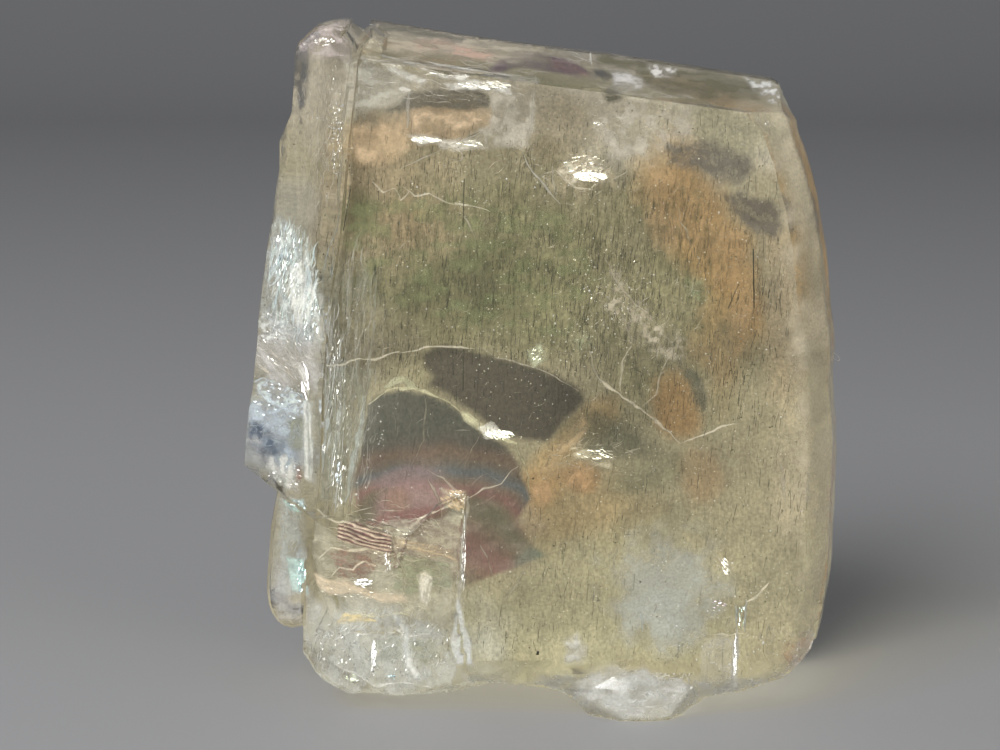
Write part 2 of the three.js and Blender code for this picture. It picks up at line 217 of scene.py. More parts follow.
def halve_long_edges(bm):
    """Halves every edge that is too long, again and again, and splits the faces into triangles."""
    for _ in range(HALVINGS):
        long = [edge for edge in bm.edges if edge.calc_length() > FINEST_EDGE * MM]
        if not long:
            break
        bmesh.ops.subdivide_edges(bm, edges=long, cuts=1)
        cut = [face for face in bm.faces if len(face.verts) > 3]
        bmesh.ops.triangulate(bm, faces=cut, quad_method="SHORT_EDGE")


def divided(source):
    """The solid's mesh, merged and finely divided, crisp at its sharp edges and smoothed elsewhere."""
    bm = bmesh.new()
    bm.from_mesh(source)
    bmesh.ops.remove_doubles(bm, verts=bm.verts, dist=MERGED)
    bmesh.ops.dissolve_degenerate(bm, edges=bm.edges, dist=MERGED)
    bmesh.ops.triangulate(bm, faces=bm.faces, quad_method="SHORT_EDGE")
    limit = math.radians(SHARP_ANGLE)
    for edge in bm.edges:
        edge.smooth = edge.calc_face_angle(0) < limit
    for face in bm.faces:
        face.smooth = True
    halve_long_edges(bm)
    soft = [v for v in bm.verts if all(edge.calc_face_angle(0) < limit for edge in v.link_edges)]
    for _ in range(SMOOTHINGS):
        bmesh.ops.smooth_vert(bm, verts=soft, factor=0.5, use_axis_x=True, use_axis_y=True, use_axis_z=True)
    mesh = bpy.data.meshes.new("crystal_skin")
    bm.to_mesh(mesh)
    bm.free()
    return mesh


def brokenness(points, facing):
    """From 0 on clean cleavage to 1 on rough fracture: the base, the chipped corner, parts of the back."""
    x, _, z = points.T
    base = fade(-facing[:, 2], 0.25, 0.7) + fade(2.3 - z, 0, 1.1)
    corner = fade(-2.2 - x, 0, 0.2) * fade(6.2 - z, 0, 1.0) * fade(-facing[:, 1], 0.2, 0.8)
    back = fade(facing[:, 1], 0.4, 0.9) * (0.45 + 0.35 * layered(points, 2.6, BACK_SEED))
    side = 0.3 * fade(np.abs(facing[:, 0]), 0.5, 0.9)
    return np.clip(np.maximum.reduce([0.8 * base, 0.35 * corner, back, side]), 0, 1)


def crystal_skin():
    """The divided solid with relief along its normals: crests where it is broken, ribs on the left slab."""
    mesh = divided(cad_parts["sanidine_crystal"].data)
    points, facing = coordinates(mesh), normals(mesh)
    x, y, z = points.T
    rough = brokenness(points, facing)
    long_crests = crests(points / [0.55, 0.55, 1.4], 1.0, CREST_SEED)
    lift = CREST_HEIGHT * long_crests + GRIT_HEIGHT * crests(points, 0.5, GRIT_SEED)
    ribbed = fade(-5.3 - x, 0, 0.4) * fade(-facing[:, 1], 0.4, 0.9) * (y > -3)
    slanting = np.stack([x - 0.1 * z, 0 * x, 0.05 * z], -1)
    height = rough * lift + RIB_HEIGHT * ribbed * noise(slanting, 0.22, RIB_SEED)
    moved = points + facing * height[:, None]
    moved[:, 2] = np.where(z < BASE_KEPT, z, np.maximum(moved[:, 2], 0.0))
    mesh.vertices.foreach_set("co", (moved * MM).ravel())
    store(mesh, "broken", rough)
    mesh.update()
    piece = link("crystal", mesh)
    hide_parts("sanidine_crystal")
    return piece


# ---- Places inside the crystal ----------------------------------------------------------------

RISE = math.radians(CAMERA_ELEVATION)
EYE = np.array(LOOK_AT) + CAMERA_DISTANCE * np.array([0, -math.cos(RISE), math.sin(RISE)])


def behind(x, z, depth):
    """The point that shows at (x, z) on the front cleavage and lies depth behind it.

    The line of sight bends at the surface: its sideways parts shrink by the crystal's index.
    """
    face = np.stack([x, FRONT_Y + 0 * x, z], -1)
    sight = face - EYE
    sight /= np.linalg.norm(sight, axis=-1, keepdims=True)
    bent = sight / INDEX
    bent[..., 1] = np.sqrt(1 - bent[..., 0] ** 2 - bent[..., 2] ** 2)
    return face + bent * (depth / bent[..., 1])[..., None]


def entry_map():
    """How far behind the front cleavage's plane each line of sight meets the skin, on a grid of places."""
    x, z = np.arange(*MAP_X, MAP_STEP), np.arange(*MAP_Z, MAP_STEP)
    far = np.full((len(x), len(z)), np.nan)
    for i, j in np.ndindex(far.shape):
        way = np.array([x[i], FRONT_Y, z[j]]) - EYE
        hit = SKIN_TREE.ray_cast(EYE * MM, way)[0]
        if hit is not None:
            far[i, j] = hit.y / MM - FRONT_Y
    return x, z, far


def under_skin(x, z, depth):
    """The point that shows at (x, z) and lies depth behind the crystal's own surface there.

    The way in is blended between the four nearest places of the map, or is the nearest one's at an edge.
    """
    across, up, far = ENTRY
    u = np.clip((x - across[0]) / MAP_STEP, 0, len(across) - 1.01)
    v = np.clip((z - up[0]) / MAP_STEP, 0, len(up) - 1.01)
    i, j = u.astype(int), v.astype(int)
    a, b = u - i, v - j
    left = (1 - b) * far[i, j] + b * far[i, j + 1]
    right = (1 - b) * far[i + 1, j] + b * far[i + 1, j + 1]
    entry = (1 - a) * left + a * right
    nearest = far[np.round(u).astype(int), np.round(v).astype(int)]
    entry = np.maximum(np.nan_to_num(np.where(np.isnan(entry), nearest, entry), nan=MISSED), 0)
    face = np.stack([x, FRONT_Y + 0 * x, z], -1)
    sight = face - EYE
    start = face + sight * (entry / sight[..., 1])[..., None]
    return start + behind(x, z, depth + 0 * x) - face


def seen_at(points):
    """Where each point shows on the front cleavage: the place that behind() leads from, by steps."""
    x, z = points[..., 0].copy(), points[..., 2].copy()
    for _ in range(4):
        off = behind(x, z, np.maximum(points[..., 1] - FRONT_Y, 0)) - points
        x -= off[..., 0]
        z -= off[..., 2]
    return x, z


def front_and_back(x, z):
    """y of the crystal's front and back skin on a straight line along Y, or nan where it misses."""
    found = np.full((2, x.size), np.nan)
    outside = 0.02  # metres from the middle, where each line starts
    for k, (px, pz) in enumerate(zip(x.ravel() * MM, z.ravel() * MM)):
        for side, way in enumerate((1, -1)):
            hit = SKIN_TREE.ray_cast((px, -way * outside, pz), (0, way, 0))[0]
            if hit is not None:
                found[side, k] = hit.y / MM
    return found.reshape((2,) + x.shape)


def room(points):
    """How far each point lies inside the skin along Y, and -1 where it lies outside."""
    front, back = front_and_back(points[:, 0], points[:, 2])
    return np.nan_to_num(np.minimum(points[:, 1] - front, back - points[:, 1]), nan=-1)


def piece_of(name, points, faces, material, margin=None, **stored):
    """A mesh from points in millimetres, with what is stored at each of them.

    With a margin it is a thin film that throws no shadow, and what lies nearer the skin is left out.
    """
    points = points.reshape(-1, 3)
    faces = np.asarray(faces)
    if margin is not None:
        faces = faces[(room(points) > margin)[faces].all(axis=1)]
    used = np.unique(faces)
    faces = np.searchsorted(used, faces)
    mesh = bpy.data.meshes.new(name)
    mesh.from_pydata((points[used] * MM).tolist(), [], faces.tolist())
    for key, values in stored.items():
        values = values.reshape(len(points), -1)[used]
        if values.shape[1] == 3:
            paint(mesh, key, np.clip(values, DARKEST, PALEST))
        else:
            store(mesh, key, values[:, 0])
    mesh.shade_smooth()
    mesh.materials.append(material)
    piece = link(name, mesh)
    piece.visible_shadow = margin is None
    return piece


def grid_faces(rows, columns):
    """The quads of a grid of rows by columns points."""
    first = (np.arange(rows - 1)[:, None] * columns + np.arange(columns - 1)).ravel()
    return np.stack([first, first + 1, first + columns + 1, first + columns], -1)


def covered_faces(cover):
    """The quads of a grid, without those where a film hardly covers."""
    faces = grid_faces(*cover.shape)
    return faces[cover.ravel()[faces].max(axis=1) > LEAST_COVER]


def spot(x, z, at, radii, lean, edge, ragged=0.25, seed=1):
    """1 in a ragged oval and 0 outside: the oval's own distance, plus noise, through an S."""
    turn = math.radians(lean)
    dx, dz = x - at[0], z - at[1]
    along = (dx * math.cos(turn) + dz * math.sin(turn)) / radii[0]
    across = (dz * math.cos(turn) - dx * math.sin(turn)) / radii[1]
    wander = swells(x, z, 1.3, seed) * ragged
    return 1 - fade(np.hypot(along, across) + wander, 1 - edge, 1 + edge)


def region(x, z, outline, edge, ragged=0.1, seed=1, size=0.8):
    """1 inside a closed outline and 0 outside: the distance to the nearest side, plus noise, through an S.

    A place lies inside when a line from it to the right crosses an odd number of sides.
    """
    corner = np.array(outline, float)
    side = np.roll(corner, -1, axis=0) - corner
    place = np.stack([x.ravel(), z.ravel()], -1)[:, None]
    along = np.clip(((place - corner) * side).sum(-1) / (side**2).sum(-1), 0, 1)
    distance = np.linalg.norm(place - corner - along[..., None] * side, axis=-1).min(axis=1)
    passes = (corner[:, 1] > place[..., 1]) != (corner[:, 1] + side[:, 1] > place[..., 1])
    rise = np.where(side[:, 1] == 0, 1, side[:, 1])
    meets = corner[:, 0] + (place[..., 1] - corner[:, 1]) / rise * side[:, 0]
    inside = (passes & (place[..., 0] < meets)).sum(axis=1) % 2 == 1
    signed = np.where(inside, distance, -distance) + ragged * layered(flat_points(x, z), size, seed, 4)
    return fade(signed, -edge, edge).reshape(x.shape)


def resampled(path, step):
    """Points every step along a line of given points, and how far along the line each lies."""
    path = np.array(path, float)
    run = np.concatenate([[0], np.cumsum(np.linalg.norm(np.diff(path, axis=0), axis=1))])
    at = np.linspace(0, run[-1], max(int(run[-1] / step) + 1, 3))
    return np.stack([np.interp(at, run, path[:, k]) for k in range(path.shape[1])], -1), at


def repeated(rows):
    """A table's rows, each as often as its third entry says, as one column for each other number."""
    numbers = [np.hstack(row[:2] + row[3:]) for row in rows]
    return np.repeat(numbers, [row[2] for row in rows], axis=0).T


def scattered(rng, count, x, z, wide, tall):
    """Places spread evenly in ovals: the radii times the root of a random number, in a random direction."""
    away, turn = np.sqrt(rng.uniform(0, 1, count)), rng.uniform(0, 2 * math.pi, count)
    return x + wide * away * np.cos(turn), z + tall * away * np.sin(turn)


# ---- Materials --------------------------------------------------------------------------------

def add(tree, kind, values=(), **settings):
    """A new node with its settings, and with plain values for some of its inputs."""
    made = tree.nodes.new("ShaderNode" + kind)
    for name, setting in settings.items():
        setattr(made, name, setting)
    for name, value in dict(values).items():
        made.inputs[name].default_value = value
    return made


def new_material(name, finish):
    """A material of one Principled shader, with the finish's values for its inputs."""
    made = bpy.data.materials.new(name)
    made.use_nodes = True
    tree = made.node_tree
    tree.nodes.clear()
    output = add(tree, "OutputMaterial")
    shader = add(tree, "BsdfPrincipled", finish)
    tree.links.new(shader.outputs["BSDF"], output.inputs["Surface"])
    return made, tree, shader, output


def grain_group():
    """Fine grain, shared: a number about 1 that varies by Strength, in grains of Size metres."""
    group = bpy.data.node_groups.new("grain", "ShaderNodeTree")
    for name, kind in (("Vector", "Vector"), ("Size", "Float"), ("Strength", "Float")):
        group.interface.new_socket(name, in_out="INPUT", socket_type="NodeSocket" + kind)
    group.interface.new_socket("Factor", in_out="OUTPUT", socket_type="NodeSocketFloat")
    given, made = group.nodes.new("NodeGroupInput"), group.nodes.new("NodeGroupOutput")
    scale = add(group, "Math", {0: 1.0}, operation="DIVIDE")
    fine = add(group, "TexNoise", {"Detail": 2})
    spread = add(group, "MapRange", {"From Min": 0.3, "From Max": 0.7, "To Min": -1, "To Max": 1})
    swing = add(group, "Math", {2: 1.0}, operation="MULTIPLY_ADD")
    join = group.links.new
    join(given.outputs["Size"], scale.inputs[1])
    join(given.outputs["Vector"], fine.inputs["Vector"])
    join(scale.outputs["Value"], fine.inputs["Scale"])
    join(fine.outputs["Fac"], spread.inputs["Value"])
    join(spread.outputs["Result"], swing.inputs[0])
    join(given.outputs["Strength"], swing.inputs[1])
    join(swing.outputs["Value"], made.inputs["Factor"])
    return group


def add_grain(tree, size, strength, stretch=(1, 1, 1)):
    """The shared grain, in grains of size millimetres, fixed to the piece's own places."""
    place = add(tree, "TexCoord")
    mapping = add(tree, "Mapping", {"Scale": stretch})
    grain = add(tree, "Group", {"Size": size * MM, "Strength": strength}, node_tree=GRAIN)
    tree.links.new(place.outputs["Object"], mapping.inputs["Vector"])
    tree.links.new(mapping.outputs["Vector"], grain.inputs["Vector"])
    return grain.outputs["Factor"]


def read(tree, name):
    """What a piece has stored under a name."""
    return add(tree, "Attribute", attribute_name=name)


def times(tree, one, other, clamp=False):
    """The product of two values."""
    made = add(tree, "Math", operation="MULTIPLY", use_clamp=clamp)
    tree.links.new(one, made.inputs[0])
    tree.links.new(other, made.inputs[1])
    return made.outputs["Value"]


def shaded(tree, colour, factor):
    """A colour made lighter and darker by a factor."""
    made = add(tree, "VectorMath", operation="SCALE")
    tree.links.new(colour, made.inputs[0])
    tree.links.new(factor, made.inputs["Scale"])
    return made.outputs["Vector"]


def sanidine_glass():
    """Clear glass with a faint champagne depth, rougher where the surface is broken.

    Lamps reach what lies inside: for their rays the surface is a lightly tinted clear sheet.
    """
    finish = {"Base Color": (0.97, 0.965, 0.94, 1), "Transmission Weight": 1.0, "IOR": INDEX}
    made, tree, shader, output = new_material("sanidine_glass", finish)
    join = tree.links.new
    rough = add(tree, "MapRange", {"To Min": 0.02, "To Max": 0.26})
    join(read(tree, "broken").outputs["Fac"], rough.inputs["Value"])
    join(times(tree, rough.outputs["Result"], add_grain(tree, 0.4, 0.5)), shader.inputs["Roughness"])
    bump = add(tree, "Bump", {"Strength": 0.25, "Distance": 0.004 * MM})
    join(add_grain(tree, 0.25, 0.5), bump.inputs["Height"])
    join(bump.outputs["Normal"], shader.inputs["Normal"])
    depth = add(tree, "VolumeAbsorption", {"Color": (0.80, 0.77, 0.58, 1), "Density": 60})
    join(depth.outputs["Volume"], output.inputs["Volume"])
    path = add(tree, "LightPath")
    clear = add(tree, "BsdfTransparent", {"Color": (0.9, 0.88, 0.8, 1)})
    mix = add(tree, "MixShader")
    join(path.outputs["Is Shadow Ray"], mix.inputs["Fac"])
    join(shader.outputs["BSDF"], mix.inputs[1])
    join(clear.outputs["BSDF"], mix.inputs[2])
    join(mix.outputs["Shader"], output.inputs["Surface"])
    return made


def veil(name, grain, speckle, tone, roughness=0.7, upright=0.0):
    """A film that reads its colour from "tint" and its cover from "cover".

    Fine grain breaks its cover by speckle and its colour by tone, and upright fibres its colour too.
    """
    made, tree, shader, _ = new_material(name, {"Roughness": roughness})
    cover = read(tree, "cover").outputs["Fac"]
    tree.links.new(times(tree, cover, add_grain(tree, grain, speckle), True), shader.inputs["Alpha"])
    colour = shaded(tree, read(tree, "tint").outputs["Color"], add_grain(tree, 1.3 * grain, tone))
    if upright:
        colour = shaded(tree, colour, add_grain(tree, 0.8 * grain, upright, (1, 1, 0.18)))
    tree.links.new(colour, shader.inputs["Base Color"])
    return made


def mineral(name, grain, speckle, roughness, metallic=0.0):
    """A speck, flake or needle that reads its colour from "tint", with fine grain."""
    made, tree, shader, _ = new_material(name, {"Roughness": roughness, "Metallic": metallic})
    tint = read(tree, "tint").outputs["Color"]
    tree.links.new(shaded(tree, tint, add_grain(tree, grain, speckle)), shader.inputs["Base Color"])
    return made


# ---- Colours in the depths --------------------------------------------------------------------

# How much of the light on a pale body inside comes back out, for red, green and blue.
RETURNED = np.array([0.88, 0.86, 0.69])


def shown(rgb):
    """The colour of a body inside that shows as this one, 0 to 255, from outside."""
    return (np.array(rgb) / 255) ** 2.2 / RETURNED


def nearer(depth):
    """What turns a colour meant for the depths into one for this depth, where less blue is lost."""
    return 1 - np.array([0, 0.01, 0.1]) * (1 - np.clip(np.asarray(depth, float)[..., None] / 3, 0, 1))


# Ovals of colour in the haze deep in the crystal: colour, middle, radii, lean, strength.
TINTS = [
    ((206, 198, 174), (0.64, 18.21), (7.75, 1.4), -8, 0.9),  # pale under the top
    ((166, 162, 126), (5.51, 17.79), (1.87, 0.93), -10, 0.6),
    ((168, 156, 126), (0.49, 17.73), (1.21, 0.99), 0, 0.6),
    ((164, 156, 126), (2.79, 17.51), (1.15, 0.88), 0, 0.5),
    ((148, 142, 107), (-1.23, 13.39), (5.31, 2.57), -4, 0.9),  # the olive band full of needles
    ((128, 127, 92), (-1.23, 12.96), (2.73, 1.31), -4, 0.6),
    ((146, 141, 106), (2.79, 11.64), (3.01, 1.81), -28, 0.7),
    ((188, 170, 134), (-4.39, 15.11), (1.78, 1.52), 0, 0.75),  # tan at the upper left
    ((166, 144, 108), (-3.96, 14.92), (0.69, 0.64), 0, 0.5),
    ((122, 124, 84), (-5.19, 15.11), (0.52, 0.58), 0, 0.6),
    ((190, 168, 128), (-4.62, 17.23), (0.86, 0.64), 10, 0.95),  # the stain under the top
    ((190, 168, 134), (-2.67, 17.79), (1.61, 0.44), 3, 0.95),
    ((192, 168, 124), (3.36, 16.1), (0.98, 1.11), -40, 0.8),  # the stained arc on the right
    ((180, 150, 102), (4.22, 15.4), (0.8, 1.28), 42, 0.8),
    ((182, 150, 98), (4.85, 14.12), (0.98, 1.4), 15, 0.8),
    ((180, 148, 98), (5.51, 12.67), (0.86, 1.34), -8, 0.75),
    ((172, 148, 104), (5.14, 11.06), (0.8, 1.28), -12, 0.7),
    ((156, 126, 88), (3.3, 14.63), (0.46, 0.58), 0, 0.5),
    ((166, 134, 88), (3.82, 9.41), (0.55, 0.88), 10, 0.85),
    ((176, 150, 104), (0.78, 8.59), (0.46, 1.28), -48, 0.8),  # stains in the middle
    ((180, 146, 98), (-0.08, 7.04), (0.52, 0.58), 0, 0.75),
    ((172, 150, 108), (1.07, 6.2), (1.78, 0.99), 8, 0.7),
    ((174, 138, 94), (1.01, 7.46), (0.46, 0.35), 0, 0.7),
    ((170, 140, 100), (4.51, 7.4), (0.63, 0.88), 0, 0.5),
    ((156, 151, 120), (1.93, 3.47), (6.6, 2.28), 3, 0.7),  # pale towards the base
    ((164, 160, 130), (-0.08, 2.56), (3.44, 1.05), 0, 0.6),
    ((170, 160, 132), (7.52, 9.18), (0.98, 6.72), 0, 0.75),
    ((182, 166, 132), (7.04, 12.67), (0.75, 2.34), 0, 0.8),
    ((134, 128, 102), (6.81, 3.78), (1.72, 1.75), 0, 0.8),  # the clear growth band
    ((124, 120, 98), (1.81, 16.33), (0.63, 0.44), 0, 0.7),
    ((136, 130, 102), (5.6, 11.35), (0.46, 0.93), 30, 0.5),
    ((106, 106, 84), (1.98, 8.59), (1.32, 0.58), -14, 0.8),
    ((118, 118, 92), (2.79, 7.4), (1.15, 0.53), 20, 0.6),
    ((168, 166, 150), (-6.97, 10.34), (1.09, 5.26), 0, 0.6),  # the left slab
    ((170, 176, 176), (-7.54, 8.59), (0.86, 1.17), 0, 0.8),
    # Painted shade: a dark bluish oval for a dark backdrop seen through the clear slab.
    ((96, 108, 118), (-7.6, 8.15), (0.34, 0.47), 20, 0.8),
    ((170, 162, 140), (-6.34, 18.07), (0.69, 1.75), 0, 0.6),
    ((182, 184, 172), (-4.67, 2.56), (2.58, 1.46), 0, 0.8),  # the lower left corner
]
# Where the crystal is clear and smooth, and the haze behind is painted dark as shade of a dark backdrop
# seen through: the width of the edge, and the outline.
WINDOWS = [
    (0.1, [
        (-3.53, 11.08), (-3.18, 11.26), (-2.84, 11.35), (-1.4, 11), (0.03, 10.68), (0.89, 10.13),
        (1.12, 9.79), (0.84, 9.41), (0.46, 9.03), (0.09, 8.56), (-0.6, 8.62), (-1.23, 8.8), (-1.8, 9.15),
        (-2.32, 9.58), (-2.78, 9.9), (-3.12, 10.05), (-3.38, 10.13), (-3.27, 10.42), (-3.47, 10.68)]),
    (0.07, [
        (-5.02, 9.64), (-4.67, 9.96), (-4.04, 10.05), (-3.24, 9.85), (-2.52, 9.47), (-1.72, 8.8),
        (-1.09, 8.42), (-0.8, 7.94), (-0.6, 7.28), (-0.4, 6.86), (-0.77, 6.2), (-0.37, 5.54), (0.06, 5.12),
        (-0.97, 4.69), (-2.26, 4.27), (-2.95, 4.08), (-5.48, 5), (-5.48, 7.4)]),
]
# Thin-film colours in the lower window, darkened with the window's painted shade, by the distance from
# their middle in mm.
RING_MIDDLE = (-3.38, 2.92)
RINGS = [
    (1.6, (121, 117, 92)), (2.2, (129, 106, 88)), (2.7, (131, 100, 90)), (3.1, (127, 100, 86)),
    (3.5, (119, 108, 84)), (3.85, (108, 110, 84)), (4.15, (115, 106, 81)), (4.38, (135, 98, 88)),
    (4.6, (115, 102, 84)), (4.85, (94, 104, 104)), (5.1, (108, 100, 86)), (5.4, (115, 98, 81)),
    (5.75, (92, 88, 76)), (6.1, (88, 88, 76)),
]
# Patches of their own over the rings: colour, middle, radii, lean, strength.
BLUSH = [
    ((140, 122, 122), (-3.99, 7.46), (0.98, 0.26), 6, 0.8),
    ((168, 138, 132), (-3.87, 6.86), (0.98, 0.44), 12, 0.9),
    ((172, 138, 114), (-4.27, 6.74), (0.32, 0.35), 0, 0.7),
    ((150, 104, 98), (-3.99, 6.26), (0.98, 0.2), 12, 0.8),
    ((112, 126, 110), (-0.43, 5), (0.37, 0.26), 20, 0.7),
]


def mixed(x, z, base, tints):
    """The base colour with each tint's ragged oval laid over it in turn."""
    colour = base * np.ones(x.shape + (1,))
    for k, (tint, at, radii, lean, strength) in enumerate(tints):
        weight = strength * spot(x, z, at, radii, lean, 0.5, ragged=0.4, seed=TINT_EDGE + k)
        colour += weight[..., None] * (shown(tint) - colour)
    return colour


def ring_colour(x, z):
    """The film's colour at each place: its list of colours read at the wavering distance."""
    away = np.hypot(x - RING_MIDDLE[0], z - RING_MIDDLE[1]) + 0.22 * swells(x, z, 1.4, RING_SEED)
    at, colours = [ring[0] for ring in RINGS], shown([ring[1] for ring in RINGS])
    return np.stack([np.interp(away, at, band) for band in colours.T], -1)


def in_windows(x, z):
    """1 in the lower window, 0.7 in the upper one and 0 elsewhere."""
    upper, lower = (region(x, z, outline, 0.2) for _, outline in WINDOWS)
    return np.clip(lower + 0.7 * upper, 0, 1)


def deep_haze():
    """A film close in front of the back: the smoothed back, set in, with slow swells, inside the skin.

    It is painted by where each place shows: the body colour with its tints, each window's painted shade
    over them (a dark backdrop seen through clear glass), and a mottle that lightens and darkens both.
    """
    x, z = np.meshgrid(np.arange(*HAZE_X, HAZE_STEP), np.arange(*HAZE_Z, HAZE_STEP))
    front, back = front_and_back(x, z)
    smooth = blurred(blurred(back, HAZE_BLUR), HAZE_BLUR) - HAZE_INSET - 0.08 * swells(x, z, 2.5, HAZE_SEED)
    y = np.maximum(np.minimum(smooth, back - HAZE_LEAST_INSET), front + 0.35 * (back - front))
    points = np.stack([x, y, z], -1)
    x, z = seen_at(points)
    colour = mixed(x, z, shown(BODY), TINTS)
    clear = np.zeros(x.shape)
    shades = (shown(UPPER_WINDOW_PAINTED_SHADE), mixed(x, z, ring_colour(x, z), BLUSH))
    for k, (edge, outline) in enumerate(WINDOWS):
        inside = region(x, z, outline, edge, 0.05, WINDOW_EDGE + k)
        colour += inside[..., None] * (shades[k] - colour)
        clear = np.maximum(clear, inside)
    flat = flat_points(x, z)
    mottle = 0.15 * layered(flat, 1.6, MOTTLE_SEED) + 0.08 * noise(flat, 0.3, SPECKLE_SEED)
    mottle += 0.09 * noise(flat * [3, 0.7, 1], 0.4, UPRIGHT_SEED)
    colour *= 1 + (mottle.reshape(x.shape) * (1 - 0.4 * clear))[..., None]
    within = blurred(np.where(np.isnan(back), 0.0, 1.0), 3)
    faces = grid_faces(*x.shape)
    whole = ~np.isnan(points.reshape(-1, 3)[faces]).any(axis=(1, 2))
    return piece_of(
        "deep_haze", np.nan_to_num(points), faces[whole], veil("deep_haze", 0.07, 0.03, 0.2, upright=0.14),
        tint=colour, cover=HAZE_COVER * fade(within, 0.62, 0.98),
    )


# ---- Needles ----------------------------------------------------------------------------------

def slivers(name, middle, way, length, width, tint, material):
    """Thin three-sided prisms: a ring of points round each middle, moved half a length each way."""
    sides = 3
    around = np.arange(sides) * 2 * math.pi / sides
    ring = np.stack([np.cos(around), np.sin(around), 0 * around], -1)
    centred = middle[:, None] + width[:, None, None] * ring
    half = (way * length[:, None] / 2)[:, None]
    points = np.concatenate([centred - half, centred + half], axis=1)
    k = np.arange(sides)
    n = (k + 1) % sides
    walls = np.concatenate([np.stack([k, n, n + sides], -1), np.stack([k, n + sides, k + sides], -1)])
    ends = np.array([[0, j + 1, j] for j in range(1, sides - 1)])
    faces = np.concatenate([walls, ends, ends[:, ::-1] + sides])
    faces = (faces + 2 * sides * np.arange(len(points))[:, None, None]).reshape(-1, 3)
    colours = np.repeat(tint, 2 * sides, axis=0)
    return piece_of(name, points, faces, material, tint=colours)


# Needles that stand out by themselves: middle, length, lean in degrees, half width.
SINGLE_NEEDLES = [
    ((5.97, 13.28), 1.7, -2, 0.022), ((-2.26, 15.45), 1.4, 2, 0.016), ((-2.29, 10.54), 1, 1, 0.016),
    ((-5.56, 15.26), 1.2, 10, 0.018), ((1.84, 8.15), 0.3, -62, 0.03), ((2.5, 5.75), 0.22, -85, 0.03),
    ((5.4, 12.76), 0.75, 22, 0.014), ((2.73, 10.6), 0.35, -60, 0.02), ((-0.14, 2.16), 0.12, 5, 0.05),
    ((-1.95, 17.4), 0.35, 66, 0.026), ((5.69, 13.02), 0.3, 80, 0.012),
]


def needles():
    """Thin dark prisms, upright but for a slight lean, thickest in the olive band."""
    rng = np.random.default_rng(NEEDLE_SEED)
    x, z = rng.uniform(*NEEDLE_X, NEEDLE_COUNT), rng.uniform(*NEEDLE_Z, NEEDLE_COUNT)
    crowd = noise(flat_points(x, z), 0.7, CROWD_SEED)
    dense = spot(x, z, *NEEDLE_CROWD, edge=0.6) * (0.62 + 0.5 * crowd) + 0.07
    kept = rng.uniform(0, 1, NEEDLE_COUNT) < dense * (1 - 0.9 * in_windows(x, z))
    x, z = x[kept], z[kept]
    count = len(x)
    at, long, leaning, thick = (np.array(column) for column in zip(*SINGLE_NEEDLES))
    length = np.concatenate([np.clip(rng.lognormal(-1.8, 0.65, count), 0.05, 1.0), long])
    width = np.concatenate([rng.uniform(0.003, 0.0095, count), thick])
    lean = np.radians(np.concatenate([rng.normal(5, 6, count), leaning]))
    middle = np.concatenate([behind(x, z, rng.uniform(0.6, 5.2, count)), behind(at[:, 0], at[:, 1], 0.5)])
    tip = np.radians(rng.normal(0, 12, len(middle)))
    way = np.stack([np.sin(lean), np.sin(tip) * np.cos(lean), np.cos(lean)], -1)
    tint = np.ones((len(middle), 3)) * NEEDLE_COLOUR * rng.uniform(0.6, 2.4, len(middle))[:, None]
    inside = (room(middle) > NEEDLE_MARGIN) & (middle[:, 2] > 0.1 + length / 2)
    parts = (v[inside] for v in (middle, way, length, width, tint))
    return slivers("needles", *parts, mineral("dark_needles", 0.1, 0.4, 0.5))


# ---- Cracks and hairlines ---------------------------------------------------------------------

